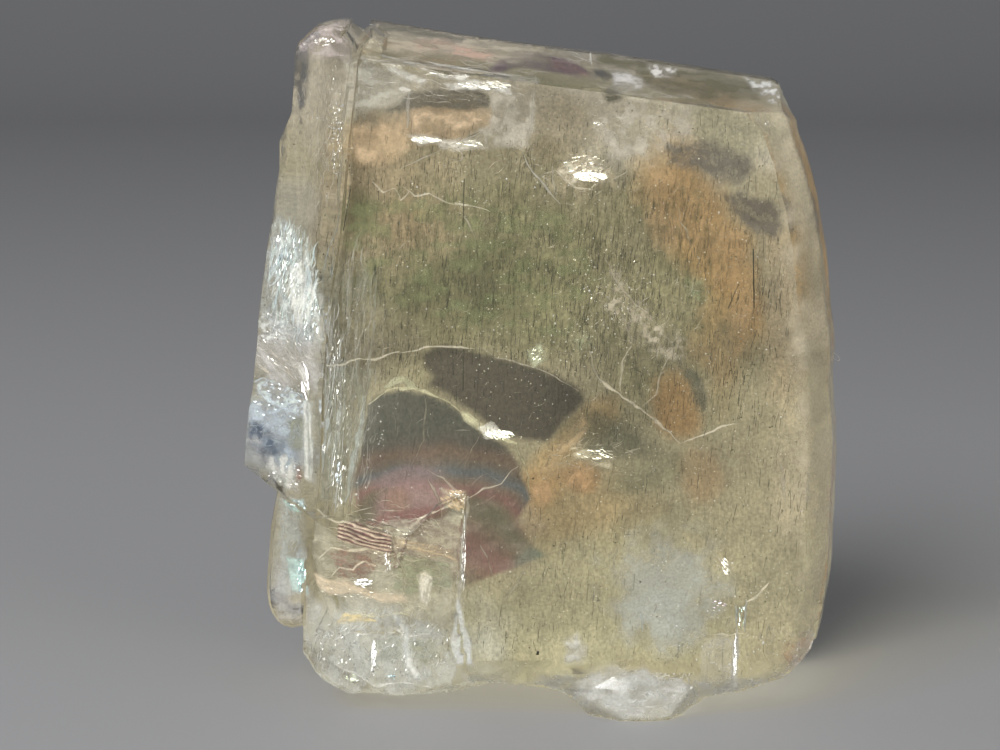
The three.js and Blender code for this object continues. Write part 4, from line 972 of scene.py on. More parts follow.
# Pale and dark films at their own depths: depth, relief, colour, cover, the size of the streaks across and
# along, how broken they are, the width of the edge, the streaks' lean in degrees, and the outline.
FILMS = {
    "cloud": (2.2, 0.03, (178, 182, 170), 0.7, (1.6, 1.6), 0.15, 0.7, 0, [
        (2.27, 4.84), (3.22, 5.45), (4.51, 5.24), (5.14, 4.08), (4.68, 2.98), (3.48, 2.49), (2.39, 3.11)]),
    # Painted highlights: the next six films are white and cream patches that stand in for light glancing
    # off cleavage cracks in the upper part.
    "top_painted_flash_a": (1, 0.05, WHITE, 0.95, (0.2, 0.1), 0.5, 0.06, 0, [
        (-4.59, 19.47), (-4.24, 19.36), (-3.76, 19.08), (-3.3, 18.91), (-3.41, 18.8), (-3.99, 19.02),
        (-4.5, 19.3)]),
    "top_painted_flash_b": (1, 0.05, WHITE, 0.95, (0.2, 0.1), 0.5, 0.06, 0, [
        (-3.3, 19.25), (-2.67, 19.11), (-2.15, 19.02), (-2.26, 18.91), (-2.95, 19.02)]),
    "top_painted_flash_c": (1.2, 0.05, WHITE, 0.95, (0.2, 0.1), 0.5, 0.06, 0, [
        (-2.81, 18.8), (-1.95, 18.91), (-1, 18.69), (-0.94, 18.52), (-1.8, 18.63), (-2.67, 18.63)]),
    "mid_painted_flash_a": (1.4, 0.05, (226, 220, 200), 0.9, (0.2, 0.1), 0.5, 0.08, 0, [
        (-3.87, 17.4), (-2.95, 17.29), (-2.78, 17.09), (-3.53, 17.12)]),
    "mid_painted_flash_b": (1.4, 0.05, (206, 200, 180), 0.85, (0.2, 0.1), 0.5, 0.08, 0, [
        (-2.95, 17.17), (-1.86, 17.26), (-1.69, 17.01), (-2.38, 16.95), (-2.89, 17.03)]),
    "shell_painted_flash": (2.2, 0.1, (226, 214, 184), 0.9, (0.12, 0.12), 0.6, 0.12, 0, [
        (0.38, 16.33), (0.72, 16.56), (1.24, 16.58), (1.75, 16.33), (1.64, 15.99), (1.12, 16.1),
        (0.66, 15.99)]),
    "shell_glow": (2.6, 0.1, (178, 166, 132), 0.6, (0.1, 0.3), 0.5, 0.25, 0, [
        (-0.08, 16.1), (0.49, 16.61), (1.35, 16.72), (1.98, 16.33), (1.98, 15.82), (1.24, 15.65),
        (0.38, 15.65)]),
    "pale_texture": (1.8, 0.1, (186, 176, 150), 0.6, (0.16, 0.16), 0.8, 0.3, 0, [
        (1.64, 13.48), (2.36, 13.11), (3.07, 12.32), (4.05, 11.35), (3.82, 10.68), (2.79, 11.35),
        (1.81, 12.52)]),
    # Painted highlights: the next three pale green films stand in for glints off cracks.
    "green_painted_glint_a": (2.6, 0.1, (206, 212, 172), 0.7, (0.1, 0.1), 0.5, 0.1, 0, [
        (-0.48, 11.2), (-0.08, 11.38), (0.09, 10.97), (-0.25, 10.74)]),
    "green_painted_glint_b": (2.6, 0.1, (180, 188, 146), 0.5, (0.1, 0.1), 0.6, 0.15, 0, [
        (0.78, 11.49), (1.12, 11.79), (1.35, 11.35), (1.01, 11.08)]),
    "green_painted_glint_c": (2.6, 0.1, (146, 162, 118), 0.5, (0.1, 0.1), 0.6, 0.15, 0, [
        (4.11, 13.19), (4.51, 13.25), (4.62, 12.67), (4.28, 12.55)]),
    "shell_marks": (2.2, 0.1, (206, 196, 160), 0.75, (0.4, 0.08), 0.8, 0.1, 0, [
        (0.78, 8.42), (1.35, 8.3), (1.98, 8.12), (1.93, 7.7), (1.35, 7.88), (0.95, 8.06)]),
    "white_blob": (0.8, 0.1, (196, 196, 186), 0.7, (0.2, 0.2), 0.4, 0.15, 0, [
        (0.66, 2.49), (1.01, 2.68), (1.3, 2.31), (1.12, 1.88), (0.78, 1.94)]),
    "base_frost": (0.2, 0.04, (190, 190, 180), 0.75, (0.4, 0.2), 0.4, 0.2, 0, [
        (-2.23, 1.45), (-1.23, 1.39), (-0.37, 1.21), (0.66, 1.52), (2.21, 1.7), (4.22, 1.33), (5.66, 1.39),
        (7.09, 1.58), (7.84, 2.19), (8.13, 2.74), (8.24, 1.03), (6.23, 0.6), (4.51, 0.05), (1.64, 0.05),
        (0.49, 0.72), (-1.8, 0.78)]),
    "lobe_frost": (0.35, 0.04, (180, 180, 168), 0.5, (0.3, 0.12), 0.4, 0.15, 0, [
        (0.89, 1.03), (1.64, 1.39), (3.07, 1.39), (4.57, 1.03), (4.28, 0.36), (3.07, 0.05), (1.64, 0.17)]),
    "frost_pane": (0.4, 0.03, (192, 190, 176), 0.35, (0.5, 0.5), 0.3, 0.08, 0, [
        (4.68, 2.49), (5.2, 2.68), (5.72, 2.65), (5.63, 0.96), (4.62, 0.9)]),
    "corner_frost": (0.35, 0.04, (186, 188, 178), 0.5, (0.3, 0.5), 0.6, 0.4, 0, [
        (-6.8, 3.47), (-5.82, 3.66), (-4.39, 3.47), (-2.95, 2.98), (-2.15, 1.7), (-2.03, 0.84),
        (-6.11, 0.72), (-6.97, 2.56)]),
    # Painted highlights: the next two films, pale teal and near white, stand in for the left slab's
    # cleavage flash.
    "slab_painted_flash": (0.22, 0.04, (164, 172, 170), 0.4, (0.1, 0.3), 0.7, 0.25, 0, [
        (-7.66, 14.8), (-7.2, 14.92), (-6.91, 14.06), (-6.45, 13.25), (-6.28, 11.49), (-6.97, 11.32),
        (-7.54, 11.55), (-8.06, 12.14), (-8, 13.25)]),
    "slab_painted_highlight": (0.15, 0.04, (250, 254, 252), 0.8, (0.12, 0.3), 0.35, 0.1, 0, [
        (-7.2, 13.6), (-6.88, 13.77), (-6.77, 13.37), (-6.86, 12.61), (-7.06, 12.49), (-7.23, 12.9)]),
    "slab_fan": (0.25, 0.04, (198, 196, 190), 0.5, (0.15, 0.7), 0.4, 0.25, 28, [
        (-8.18, 11.73), (-7.26, 11.91), (-6.34, 11.35), (-6.51, 9.99), (-7.26, 10.16), (-8.06, 10.57),
        (-8.29, 11.2)]),
    "slab_foot": (0.2, 0.04, (192, 188, 178), 0.45, (0.3, 0.2), 0.6, 0.18, 0, [
        (-8.4, 8.59), (-8.06, 7.76), (-7.6, 7.34), (-7.08, 7.04), (-6.97, 7.7), (-7.66, 7.94),
        (-8.18, 8.71)]),
    "slab_clear": (0.3, 0.04, (186, 200, 208), 0.5, (0.25, 0.25), 0.5, 0.2, -20, [
        (-8.35, 9.76), (-7.26, 9.58), (-6.8, 9.29), (-6.86, 7.7), (-7.26, 7.46), (-8.06, 8.24),
        (-8.43, 9.06)]),
    # Painted highlights: the next two pale turquoise films stand in for flashes off the lower slab.
    "low_slab_painted_flash": (0.2, 0.05, (196, 228, 228), 0.75, (0.15, 0.15), 0.4, 0.06, 0, [
        (-7.49, 5.12), (-6.8, 4.94), (-6.86, 3.96), (-7.26, 4.08)]),
    "low_slab_painted_glint": (0.2, 0.05, (190, 220, 224), 0.75, (0.15, 0.1), 0.5, 0.06, 0, [
        (-7.49, 6.8), (-6.91, 6.8), (-6.86, 6.44), (-7.37, 6.5)]),
    "low_slab_foot": (0.2, 0.04, (200, 198, 188), 0.5, (0.4, 0.4), 0.5, 0.2, 0, [
        (-7.83, 5), (-7.49, 4.81), (-6.86, 3.9), (-6.91, 3.23), (-7.66, 3.17)]),
    "nub_frost": (0.25, 0.04, (200, 188, 180), 0.5, (0.3, 0.2), 0.5, 0.25, 0, [
        (-6.97, 20.03), (-6.45, 20.43), (-5.88, 20.6), (-5.36, 20.31), (-5.48, 19.58), (-6.11, 19.47),
        (-6.8, 19.69)]),
    "plate_streaks": (0.5, 0.05, (180, 180, 160), 0.22, (0.05, 1.2), 0.9, 0.6, 0, [
        (-5.94, 13.77), (-4.79, 13.25), (-5.08, 9.18), (-5.65, 6.2), (-6.4, 6.2), (-6.22, 10.34)]),
    "side_streaks": (0.4, 0.05, (158, 150, 128), 0.26, (0.06, 0.9), 0.9, 0.4, 0, [
        (-6.97, 18.91), (-5.48, 19.19), (-5.82, 15.54), (-6.17, 14.12), (-7.2, 14.92), (-7.37, 16.95)]),
    # Painted light: this band is painted paler to make up for its film facing away from the key lamp.
    "right_band_painted_light": (0.25, 0.06, (176, 166, 138), 0.85, (0.5, 1.2), 0.3, 0.4, 0, [
        (5.6, 18.18), (7.09, 18.41), (7.81, 16.67), (8.24, 14.4), (8.59, 11.49), (8.76, 8.3), (8.59, 5),
        (8.3, 2.56), (7.55, 1.94), (7.78, 5), (7.55, 8.59), (7.15, 11.49), (6.92, 14.12), (6.75, 15.82),
        (6.35, 17.37)]),
    "top_right_white": (0.2, 0.04, (214, 214, 206), 0.85, (0.2, 0.1), 0.9, 0.1, 0, [
        (5.51, 19.02), (6.23, 18.85), (6.86, 18.52), (6.98, 18.13), (6.4, 18.24), (5.89, 18.57)]),
    "top_lip": (0.15, 0.04, (226, 222, 214), 0.9, (0.12, 0.08), 0.8, 0.08, 0, [
        (2.79, 19.41), (3.22, 19.3), (3.71, 19.19), (3.59, 18.97), (3.07, 19.02)]),
    "low_slab_body": (0.3, 0.04, (180, 188, 186), 0.45, (0.3, 0.6), 0.5, 0.2, 0, [
        (-7.66, 6.92), (-6.86, 6.8), (-6.8, 3.78), (-7.77, 4.08)]),
    "window_haze": (2.8, 0.1, (170, 150, 134), 0.22, (0.5, 0.3), 0.5, 0.5, 0, [
        (-5.19, 7.7), (-3.53, 8.24), (-1.8, 7.7), (-0.37, 6.8), (-0.2, 5), (-1.23, 4.27), (-2.95, 4.08),
        (-5.25, 5.6)]),
    # Painted shade: the crystal's olive under the top face, painted darker for the stronger light the top
    # gets.
    "top_painted_shade_body": (0.5, 0.05, (134, 128, 102), 0.6, (0.9, 0.12), 0.5, 0.3, -8, [
        (-5.19, 20.54), (-2.09, 20.31), (2.79, 19.53), (6.81, 18.8), (7.27, 17.9), (4.51, 18.13),
        (0.49, 18.8), (-4.67, 19.3)]),
    "top_left": (0.2, 0.04, (196, 186, 162), 0.6, (0.5, 0.07), 0.5, 0.15, -8, [
        (-5.19, 20.43), (-4.67, 20.54), (-2.09, 20.2), (-0.08, 19.81), (-0.37, 19.47), (-1.52, 19.41),
        (-2.95, 19.58), (-5.19, 19.81)]),
    # Painted reflection: a dark band that stands in for dark surroundings mirrored in the top face.
    "top_painted_reflection_band": (0.15, 0.03, (96, 94, 80), 0.8, (0.4, 0.05), 0.6, 0.06, -8, [
        (-4.62, 20.43), (-3.53, 20.34), (-2.15, 20.03), (-2.32, 19.92), (-3.53, 20.14), (-4.56, 20.26)]),
    "top_pink": (0.15, 0.03, (190, 158, 138), 0.6, (0.5, 0.06), 0.8, 0.1, -8, [
        (-3.58, 19.98), (-2.67, 19.98), (-1.46, 19.69), (-1.23, 19.41), (-2.09, 19.47), (-3.53, 19.69)]),
    # Painted reflection: mauve that stands in for dark surroundings mirrored in the top face.
    "top_painted_reflection_mauve": (0.5, 0.03, (84, 66, 74), 0.95, (0.3, 0.08), 0.25, 0.06, -8, [
        (-1.57, 19.19), (-1.12, 19.5), (-0.66, 19.64), (-0.02, 19.5), (0.55, 19.47), (1.01, 19.25),
        (1.3, 19.02), (0.78, 18.97), (0.21, 19.08), (-0.37, 19.16), (-0.83, 19.16), (-1.17, 19.02),
        (-1.52, 19.05)]),
    "top_rust": (0.15, 0.03, (112, 88, 80), 0.7, (0.3, 0.08), 0.4, 0.08, -8, [
        (0.15, 19.47), (0.55, 19.47), (1.07, 19.19), (1.35, 18.97), (0.84, 18.97), (0.26, 19.19)]),
    # Painted reflection: the next two near-black patches stand in for dark surroundings mirrored in the top
    # face.
    "top_painted_reflection_black": (0.2, 0.03, (64, 62, 56), 0.9, (0.2, 0.08), 0.4, 0.06, -8, [
        (1.32, 19.19), (1.64, 19.19), (1.93, 18.99), (1.75, 18.85), (1.41, 18.97)]),
    "top_painted_reflection_black_b": (0.3, 0.03, (78, 76, 62), 0.85, (0.2, 0.08), 0.4, 0.08, -8, [
        (1.64, 18.52), (1.98, 18.6), (2.16, 18.41), (1.81, 18.27)]),
    "top_white": (0.25, 0.03, (210, 208, 200), 0.7, (0.3, 0.1), 0.6, 0.12, -8, [
        (1.81, 19.13), (2.27, 19.13), (2.79, 18.8), (2.56, 18.57), (1.98, 18.74)]),
    # Painted shade: olive under the top face, painted darker for the stronger light the top gets.
    "top_painted_shade_green": (0.25, 0.03, (88, 84, 54), 0.85, (0.5, 0.07), 0.45, 0.12, -8, [
        (1.3, 19.64), (2.79, 19.47), (4.51, 19.08), (5.77, 18.8), (6, 18.35), (4.51, 18.35), (2.79, 18.74),
        (2.56, 19.19), (1.53, 19.3)]),
    # Painted shade: the next two dark films stand in for a dark backdrop seen through clear glass.
    "painted_shade_lens": (1.7, 0.05, (96, 93, 78), 0.92, (0.4, 0.1), 0.25, 0.07, 0, [
        (-3.7, 18.6), (-2.78, 18.66), (-2.09, 18.74), (-1.69, 18.57), (-1.49, 18.32), (-1.57, 18.18),
        (-2.09, 18.07), (-2.78, 18.13), (-3.24, 18.18), (-3.64, 18.15), (-3.99, 17.99), (-4.5, 18.01),
        (-4.04, 18.32)]),
    "painted_shade_drop": (1.7, 0.05, (106, 104, 84), 0.85, (0.2, 0.2), 0.3, 0.08, 0, [
        (-5.19, 17.73), (-4.96, 17.9), (-4.73, 17.85), (-4.62, 17.68), (-4.85, 17.57), (-5.13, 17.57)]),
    "stain_top": (2, 0.05, (212, 188, 150), 0.75, (0.3, 0.2), 0.5, 0.1, 0, [
        (-3.7, 18.07), (-2.67, 18.01), (-1.52, 18.13), (-1.4, 17.73), (-2.09, 17.57), (-3.24, 17.4),
        (-3.7, 17.51)]),
    "stain_brown": (1.8, 0.05, (146, 130, 98), 0.7, (0.2, 0.2), 0.5, 0.12, 0, [
        (-3.58, 17.85), (-3.07, 17.9), (-2.61, 17.68), (-2.78, 17.34), (-3.41, 17.34)]),
    "stain_left": (1.6, 0.05, (204, 178, 138), 0.7, (0.3, 0.4), 0.35, 0.2, 0, [
        (-5.25, 17.57), (-4.67, 17.68), (-3.99, 17.62), (-3.87, 17.06), (-4.56, 16.67), (-5.19, 16.72),
        (-5.42, 17.23)]),
    "pale_frame": (1.6, 0.05, (190, 184, 164), 0.6, (0.3, 0.4), 0.6, 0.12, 0, [
        (-1.52, 18.57), (-0.37, 18.52), (-0.31, 17.79), (-0.48, 17.06), (-1.23, 17.01), (-2.49, 17.01),
        (-2.09, 17.45), (-1.52, 17.62)]),
    "pale_left": (0.7, 0.05, (186, 184, 166), 0.5, (0.5, 0.2), 0.4, 0.2, -8, [
        (-5.54, 19.41), (-4.67, 19.47), (-3.81, 19.02), (-3.76, 18.57), (-4.39, 18.18), (-5.48, 18.01)]),
    "upper_glow": (2.2, 0.1, (186, 180, 160), 0.55, (0.3, 0.25), 0.7, 0.3, -20, [
        (0.49, 18.85), (2.79, 18.57), (4.22, 18.01), (3.94, 17.23), (2.79, 16.72), (1.93, 16.67),
        (1.35, 17.79)]),
    # Painted shade: the next four dark films stand in for a dark backdrop seen through clear glass.
    "glass_painted_shade_a": (1.5, 0.05, (96, 92, 80), 0.85, (0.4, 0.2), 0.3, 0.16, 0, [
        (3.48, 17.06), (4.51, 17.17), (5.66, 16.89), (5.89, 16.44), (5.37, 15.99), (4.51, 16.33),
        (3.59, 16.61)]),
    "glass_painted_shade_b": (1.4, 0.05, (94, 88, 76), 0.85, (0.4, 0.2), 0.35, 0.16, -40, [
        (5.03, 15.65), (5.6, 15.65), (6.4, 15.43), (6.81, 14.92), (6.58, 14.4), (6, 14.46), (5.49, 14.92)]),
    "glass_painted_shade_c": (0.8, 0.05, (104, 98, 82), 0.8, (0.2, 0.3), 0.4, 0.08, 0, [
        (7.32, 15.65), (7.55, 15.37), (7.72, 14.57), (7.55, 14.18), (7.32, 14.8)]),
    "slit_painted_shade": (1.8, 0.05, (92, 92, 72), 0.85, (0.2, 0.3), 0.3, 0.1, 0, [
        (3.94, 10.74), (4.34, 10.57), (4.74, 9.82), (4.62, 9.53), (4.22, 9.99)]),
    "stain_arc": (2.4, 0.1, (170, 141, 97), 0.5, (0.3, 0.7), 0.4, 0.3, 20, [
        (3.36, 16.72), (4.22, 16.44), (4.97, 15.65), (5.66, 14.52), (6, 12.96), (6.12, 11.79), (5.6, 11.2),
        (5.31, 12.67), (4.51, 13.77), (3.48, 14.63), (2.79, 15.43), (2.9, 16.33)]),
    "stain_band": (2.2, 0.05, (172, 150, 110), 0.6, (0.15, 0.4), 0.5, 0.1, -42, [
        (1.12, 9.29), (1.47, 9), (0.66, 8.12), (0.15, 7.4), (-0.2, 7.52), (0.26, 8.36)]),
    "stain_spot_a": (2.2, 0.05, (184, 150, 106), 0.6, (0.2, 0.2), 0.5, 0.08, 0, [
        (0.84, 7.58), (1.24, 7.76), (1.47, 7.4), (1.24, 7.1), (0.66, 7.22)]),
    "stain_spot_b": (2.2, 0.05, (182, 148, 106), 0.55, (0.2, 0.2), 0.5, 0.08, 0, [
        (-0.31, 7.22), (0.15, 7.28), (0.26, 6.8), (-0.08, 6.56), (-0.31, 6.8)]),
    "body_shade": (2.4, 0.08, (82, 84, 54), 0.42, (0.06, 0.35), 1.7, 0.5, 0, [
        (-5.68, 15.82), (0.49, 16.25), (4.51, 15.82), (5.37, 11.79), (2.79, 9.76), (0.49, 11.2),
        (-4.1, 11.35), (-5.68, 11.79)]),
    "corner_glass": (0.6, 0.04, (176, 172, 148), 0.75, (0.2, 0.12), 0.35, 0.08, -14, [
        (-6.57, 6.2), (-5.71, 5.6), (-4.33, 6.2), (-2.95, 6.2), (-2.21, 6.8), (-2.26, 5), (-2.44, 2.56),
        (-6.11, 2.98), (-6.68, 5)]),
    "corner_pocket": (0.45, 0.03, (140, 114, 96), 0.8, (0.14, 0.05), 0.7, 0.05, -20, [
        (-6.17, 5.24), (-5.82, 5.36), (-4.96, 5.12), (-4.79, 4.75), (-5.19, 4.39), (-5.88, 4.51)]),
    "corner_ledge": (0.4, 0.03, (200, 182, 146), 0.85, (0.25, 0.05), 0.6, 0.05, -16, [
        (-4.33, 5.69), (-3.61, 5.57), (-2.67, 5.27), (-2.49, 5), (-3.24, 5.09), (-3.61, 5.24),
        (-4.33, 5.42)]),
    "corner_green": (0.5, 0.04, (146, 150, 122), 0.75, (0.2, 0.1), 0.4, 0.08, -16, [
        (-4.33, 5.24), (-3.53, 5.12), (-2.67, 4.87), (-2.61, 4.14), (-3.24, 4.14), (-3.81, 3.96),
        (-4.33, 4.14)]),
    "corner_cream": (0.4, 0.03, (212, 188, 146), 0.85, (0.2, 0.035), 0.8, 0.05, -38, [
        (-2.95, 7.16), (-2.21, 7.07), (-2.18, 6.41), (-2.67, 6.56), (-3.01, 6.77)]),
    "corner_rim": (0.35, 0.03, (220, 202, 168), 0.8, (0.3, 0.1), 0.25, 0.07, -14, [
        (-6.63, 4.57), (-6.28, 4.39), (-5.76, 4.45), (-5.25, 4.21), (-4.67, 4.02), (-4.04, 3.96),
        (-3.87, 3.72), (-4.67, 3.72), (-5.36, 3.96), (-6.22, 3.96), (-6.57, 4.21)]),
    "corner_blob": (0.4, 0.03, (222, 216, 196), 0.85, (0.08, 0.3), 0.5, 0.06, 0, [
        (-3.61, 4.51), (-3.41, 4.63), (-3.21, 4.45), (-3.24, 3.9), (-3.35, 3.6), (-3.55, 3.78)]),
    "corner_olive": (0.4, 0.03, (122, 116, 84), 0.8, (0.1, 0.2), 0.5, 0.06, 0, [
        (-6.11, 3.9), (-5.76, 3.84), (-5.65, 3.47), (-5.99, 3.41)]),
    "corner_tan": (0.35, 0.03, (152, 142, 106), 0.8, (0.3, 0.06), 0.5, 0.08, -6, [
        (-5.65, 3.11), (-5.13, 3.23), (-4.44, 3.05), (-4.21, 2.74), (-4.9, 2.68), (-5.59, 2.8)]),
    "corner_pit": (0.3, 0.03, (150, 152, 134), 0.7, (0.2, 0.12), 0.5, 0.1, 0, [
        (-4.85, 2.56), (-4.16, 2.68), (-3.99, 2.25), (-4.21, 1.88), (-4.73, 2.01)]),
    "corner_pit_b": (0.3, 0.03, (142, 144, 118), 0.7, (0.2, 0.12), 0.5, 0.1, 0, [
        (-3.81, 2.49), (-3.24, 2.56), (-3.07, 2.07), (-3.41, 1.76), (-3.81, 1.94)]),
    "corner_yellow": (0.3, 0.03, (214, 196, 144), 0.85, (0.2, 0.05), 0.5, 0.05, 0, [
        (-6.05, 3.05), (-5.76, 3.35), (-5.31, 3.32), (-4.85, 3.14), (-5.31, 3.14), (-5.71, 3.11)]),
    "corner_white": (0.25, 0.03, (226, 230, 228), 0.7, (0.1, 0.3), 0.4, 0.08, 0, [
        (-4.5, 3.47), (-4.16, 3.29), (-3.87, 2.86), (-3.9, 2.25), (-3.81, 1.82), (-3.58, 1.39),
        (-3.76, 1.39), (-3.99, 1.82), (-4.07, 2.37), (-4.04, 2.8), (-4.33, 3.17)]),
    "corner_wedge": (0.25, 0.03, (222, 226, 224), 0.75, (0.3, 0.6), 0.3, 0.06, 8, [
        (-2.46, 3.78), (-2.29, 3.11), (-2.12, 2.49), (-2, 1.82), (-2.49, 1.82), (-2.67, 2.49),
        (-2.55, 3.11)]),
    # Painted shade: a dark bluish film that stands in for a dark backdrop seen through the clear slab.
    "slab_painted_shade": (0.25, 0.03, (66, 76, 88), 0.92, (0.14, 0.14), 0.55, 0.12, 0, [
        (-8.46, 9.12), (-8.12, 9.06), (-7.77, 8.71), (-7.6, 8.18), (-8.06, 8.15), (-8.43, 8.48)]),
    "slab_rust": (0.2, 0.03, (128, 92, 76), 0.8, (0.1, 0.1), 0.4, 0.06, 0, [
        (-7.14, 7.76), (-6.97, 7.88), (-6.91, 7.46), (-7.08, 7.34)]),
    "slab_texture": (0.2, 0.04, (200, 202, 192), 0.6, (0.07, 0.07), 1.25, 0.12, 0, [
        (-8.06, 12.26), (-7.37, 12.35), (-7.26, 11.55), (-7.66, 11.35), (-8.06, 11.49)]),
    "corner_orange": (0.4, 0.05, (190, 150, 112), 0.6, (0.2, 0.2), 0.5, 0.12, 0, [
        (7.04, 2.13), (7.49, 2.68), (7.84, 2.62), (7.67, 1.94), (7.21, 1.7)]),
    # Painted shade: the crystal's green-grey, painted dark for a dark backdrop seen through the clear
    # plate.
    "plate_painted_shade": (0.7, 0.05, (132, 132, 110), 0.75, (0.08, 0.7), 0.5, 0.1, 8, [
        (-6.4, 10.45), (-5.68, 10.8), (-4.85, 10.68), (-5.13, 9.76), (-5.48, 7.4), (-5.71, 6.65),
        (-6.45, 6.8), (-6.51, 8.88)]),
    "green_patches": (2.2, 0.06, (112, 122, 78), 0.4, (0.5, 0.25), 1.3, 0.3, 0, [
        (-5.68, 15.54), (-2.95, 15.82), (0.49, 15.26), (1.64, 13.25), (0.49, 11.49), (-3.53, 12.08),
        (-5.54, 14.12)]),
    # Painted highlights: the next two near-white films stand in for the left slab's cleavage flash.
    "slab_painted_streaks": (0.2, 0.04, (216, 226, 224), 0.6, (0.05, 0.4), 0.85, 0.14, 0, [
        (-7.6, 14.8), (-7.26, 14.92), (-6.97, 14.74), (-6.83, 13.95), (-7.2, 13.77), (-7.49, 14.12)]),
    "slab_painted_glow": (0.16, 0.04, (232, 242, 242), 0.45, (0.08, 0.22), 0.6, 0.14, 0, [
        (-7.43, 12.67), (-7.03, 12.55), (-6.8, 13.02), (-6.48, 13.13), (-6.22, 12.49), (-6.25, 11.35),
        (-6.54, 11.49), (-6.88, 11.96), (-7.26, 12.14)]),
    "slab_blue": (0.2, 0.04, (198, 210, 220), 0.65, (0.1, 0.1), 0.8, 0.14, 0, [
        (-8.23, 10.22), (-7.83, 10.34), (-7.26, 10.11), (-6.8, 9.76), (-6.86, 9.29), (-7.43, 9.47),
        (-7.95, 9.82)]),
    "slab_pane": (0.2, 0.03, (136, 138, 116), 0.75, (0.1, 0.4), 0.3, 0.12, 0, [
        (-7.31, 9.15), (-6.88, 9.21), (-6.86, 8.3), (-7.26, 8.3)]),
    "slab_edge": (0.15, 0.03, (222, 228, 222), 0.65, (0.04, 0.8), 0.6, 0.08, 0, [
        (-6.86, 9.7), (-6.6, 9.67), (-6.6, 7.28), (-6.88, 7.46)]),
    "slab_white": (0.2, 0.03, (220, 232, 238), 0.7, (0.1, 0.25), 0.7, 0.12, 0, [
        (-7.89, 8.12), (-7.26, 8.12), (-7.14, 7.16), (-7.43, 7.1), (-7.83, 7.58)]),
    # Painted highlights: pale patches standing in for glints at the lower right corner.
    "right_painted_glints": (0.5, 0.06, (226, 222, 216), 0.9, (0.15, 0.1), 0.7, 0.1, 0, [
        (7.24, 2.19), (7.72, 2.86), (7.95, 2.56), (7.78, 1.82), (7.32, 1.58)]),
}


def films():
    """Films that follow the skin at their depths, inside their outlines, with streaks that come and go."""
    for k, (name, film) in enumerate(FILMS.items()):
        depth, relief, colour, cover, streak, broken, edge, lean, outline = film
        low, high = np.min(outline, axis=0) - 1.5 * edge, np.max(outline, axis=0) + 1.5 * edge
        spacing = np.clip(math.sqrt(np.prod(high - low) / FILM_CELLS), *FILM_STEPS)
        x, z = np.meshgrid(np.arange(low[0], high[0], spacing), np.arange(low[1], high[1], spacing))
        points = under_skin(x, z, depth + relief * swells(x, z, 0.8, FILM_RELIEF + k))
        c, s = math.cos(math.radians(lean)), math.sin(math.radians(lean))
        turned = flat_points(x, z) @ [[c, -s, 0], [s, c, 0], [0, 0, 1]]
        streaks = layered(turned / [*streak, 1], 1.0, FILM_STREAKS + k).reshape(x.shape)
        patch = region(x, z, outline, edge, 0.6 * edge, FILM_OUTLINE + k, 0.5)
        sparse, full = 0.35 * max(broken - 1, 0), min(broken, 1)
        steep = np.abs(np.gradient(points[..., 1], spacing, axis=1))
        strength = cover * patch * (1 - fade(steep, 2, 4))
        strength *= 1 - full + full * fade(streaks, sparse - 0.35, sparse + 0.45)
        tint = shown(colour) * nearer(depth) * (1 + (0.05 + 0.22 * full) * streaks[..., None])
        piece_of(
            name, points, covered_faces(strength), FILM, margin=FILM_MARGIN, tint=tint, cover=strength
        )


# Dark striations on the chipped corner: the outline they fill.
STRIATED = [
    (-5.88, 6.08), (-5.48, 6.14), (-4.44, 5.72), (-4.44, 5.24), (-5.54, 5.45), (-5.99, 5.6),
]


def striations():
    """Reddish-brown lines between cream ridges: a sine of the wavering distance across their slope."""
    rim = 0.15
    low, high = np.min(STRIATED, axis=0) - rim, np.max(STRIATED, axis=0) + rim
    x, z = np.meshgrid(np.arange(low[0], high[0], STRIA_STEP), np.arange(low[1], high[1], STRIA_STEP))
    waver = layered(flat_points(x, z) * [0.4, 1, 1], 0.4, STRIA_SEED).reshape(x.shape)
    across = z + 0.3 * x + 0.05 * waver
    wave = 0.5 + 0.5 * np.sin(across * 2 * math.pi / RIDGE)
    dark, pale = shown(STRIA_DARK), shown(STRIA_PALE)
    tint = dark + (pale - dark) * fade(wave, 0.35, 0.8)[..., None]
    cover = 0.92 * region(x, z, STRIATED, 0.06, 0.05, STRIA_EDGE_SEED)
    points = under_skin(x, z, 0.3 + 0.05 * wave)
    return piece_of(
        "striations", points, covered_faces(cover), FILM, margin=LINE_MARGIN, tint=tint, cover=cover
    )


# ---- Flashes and grains -----------------------------------------------------------------------

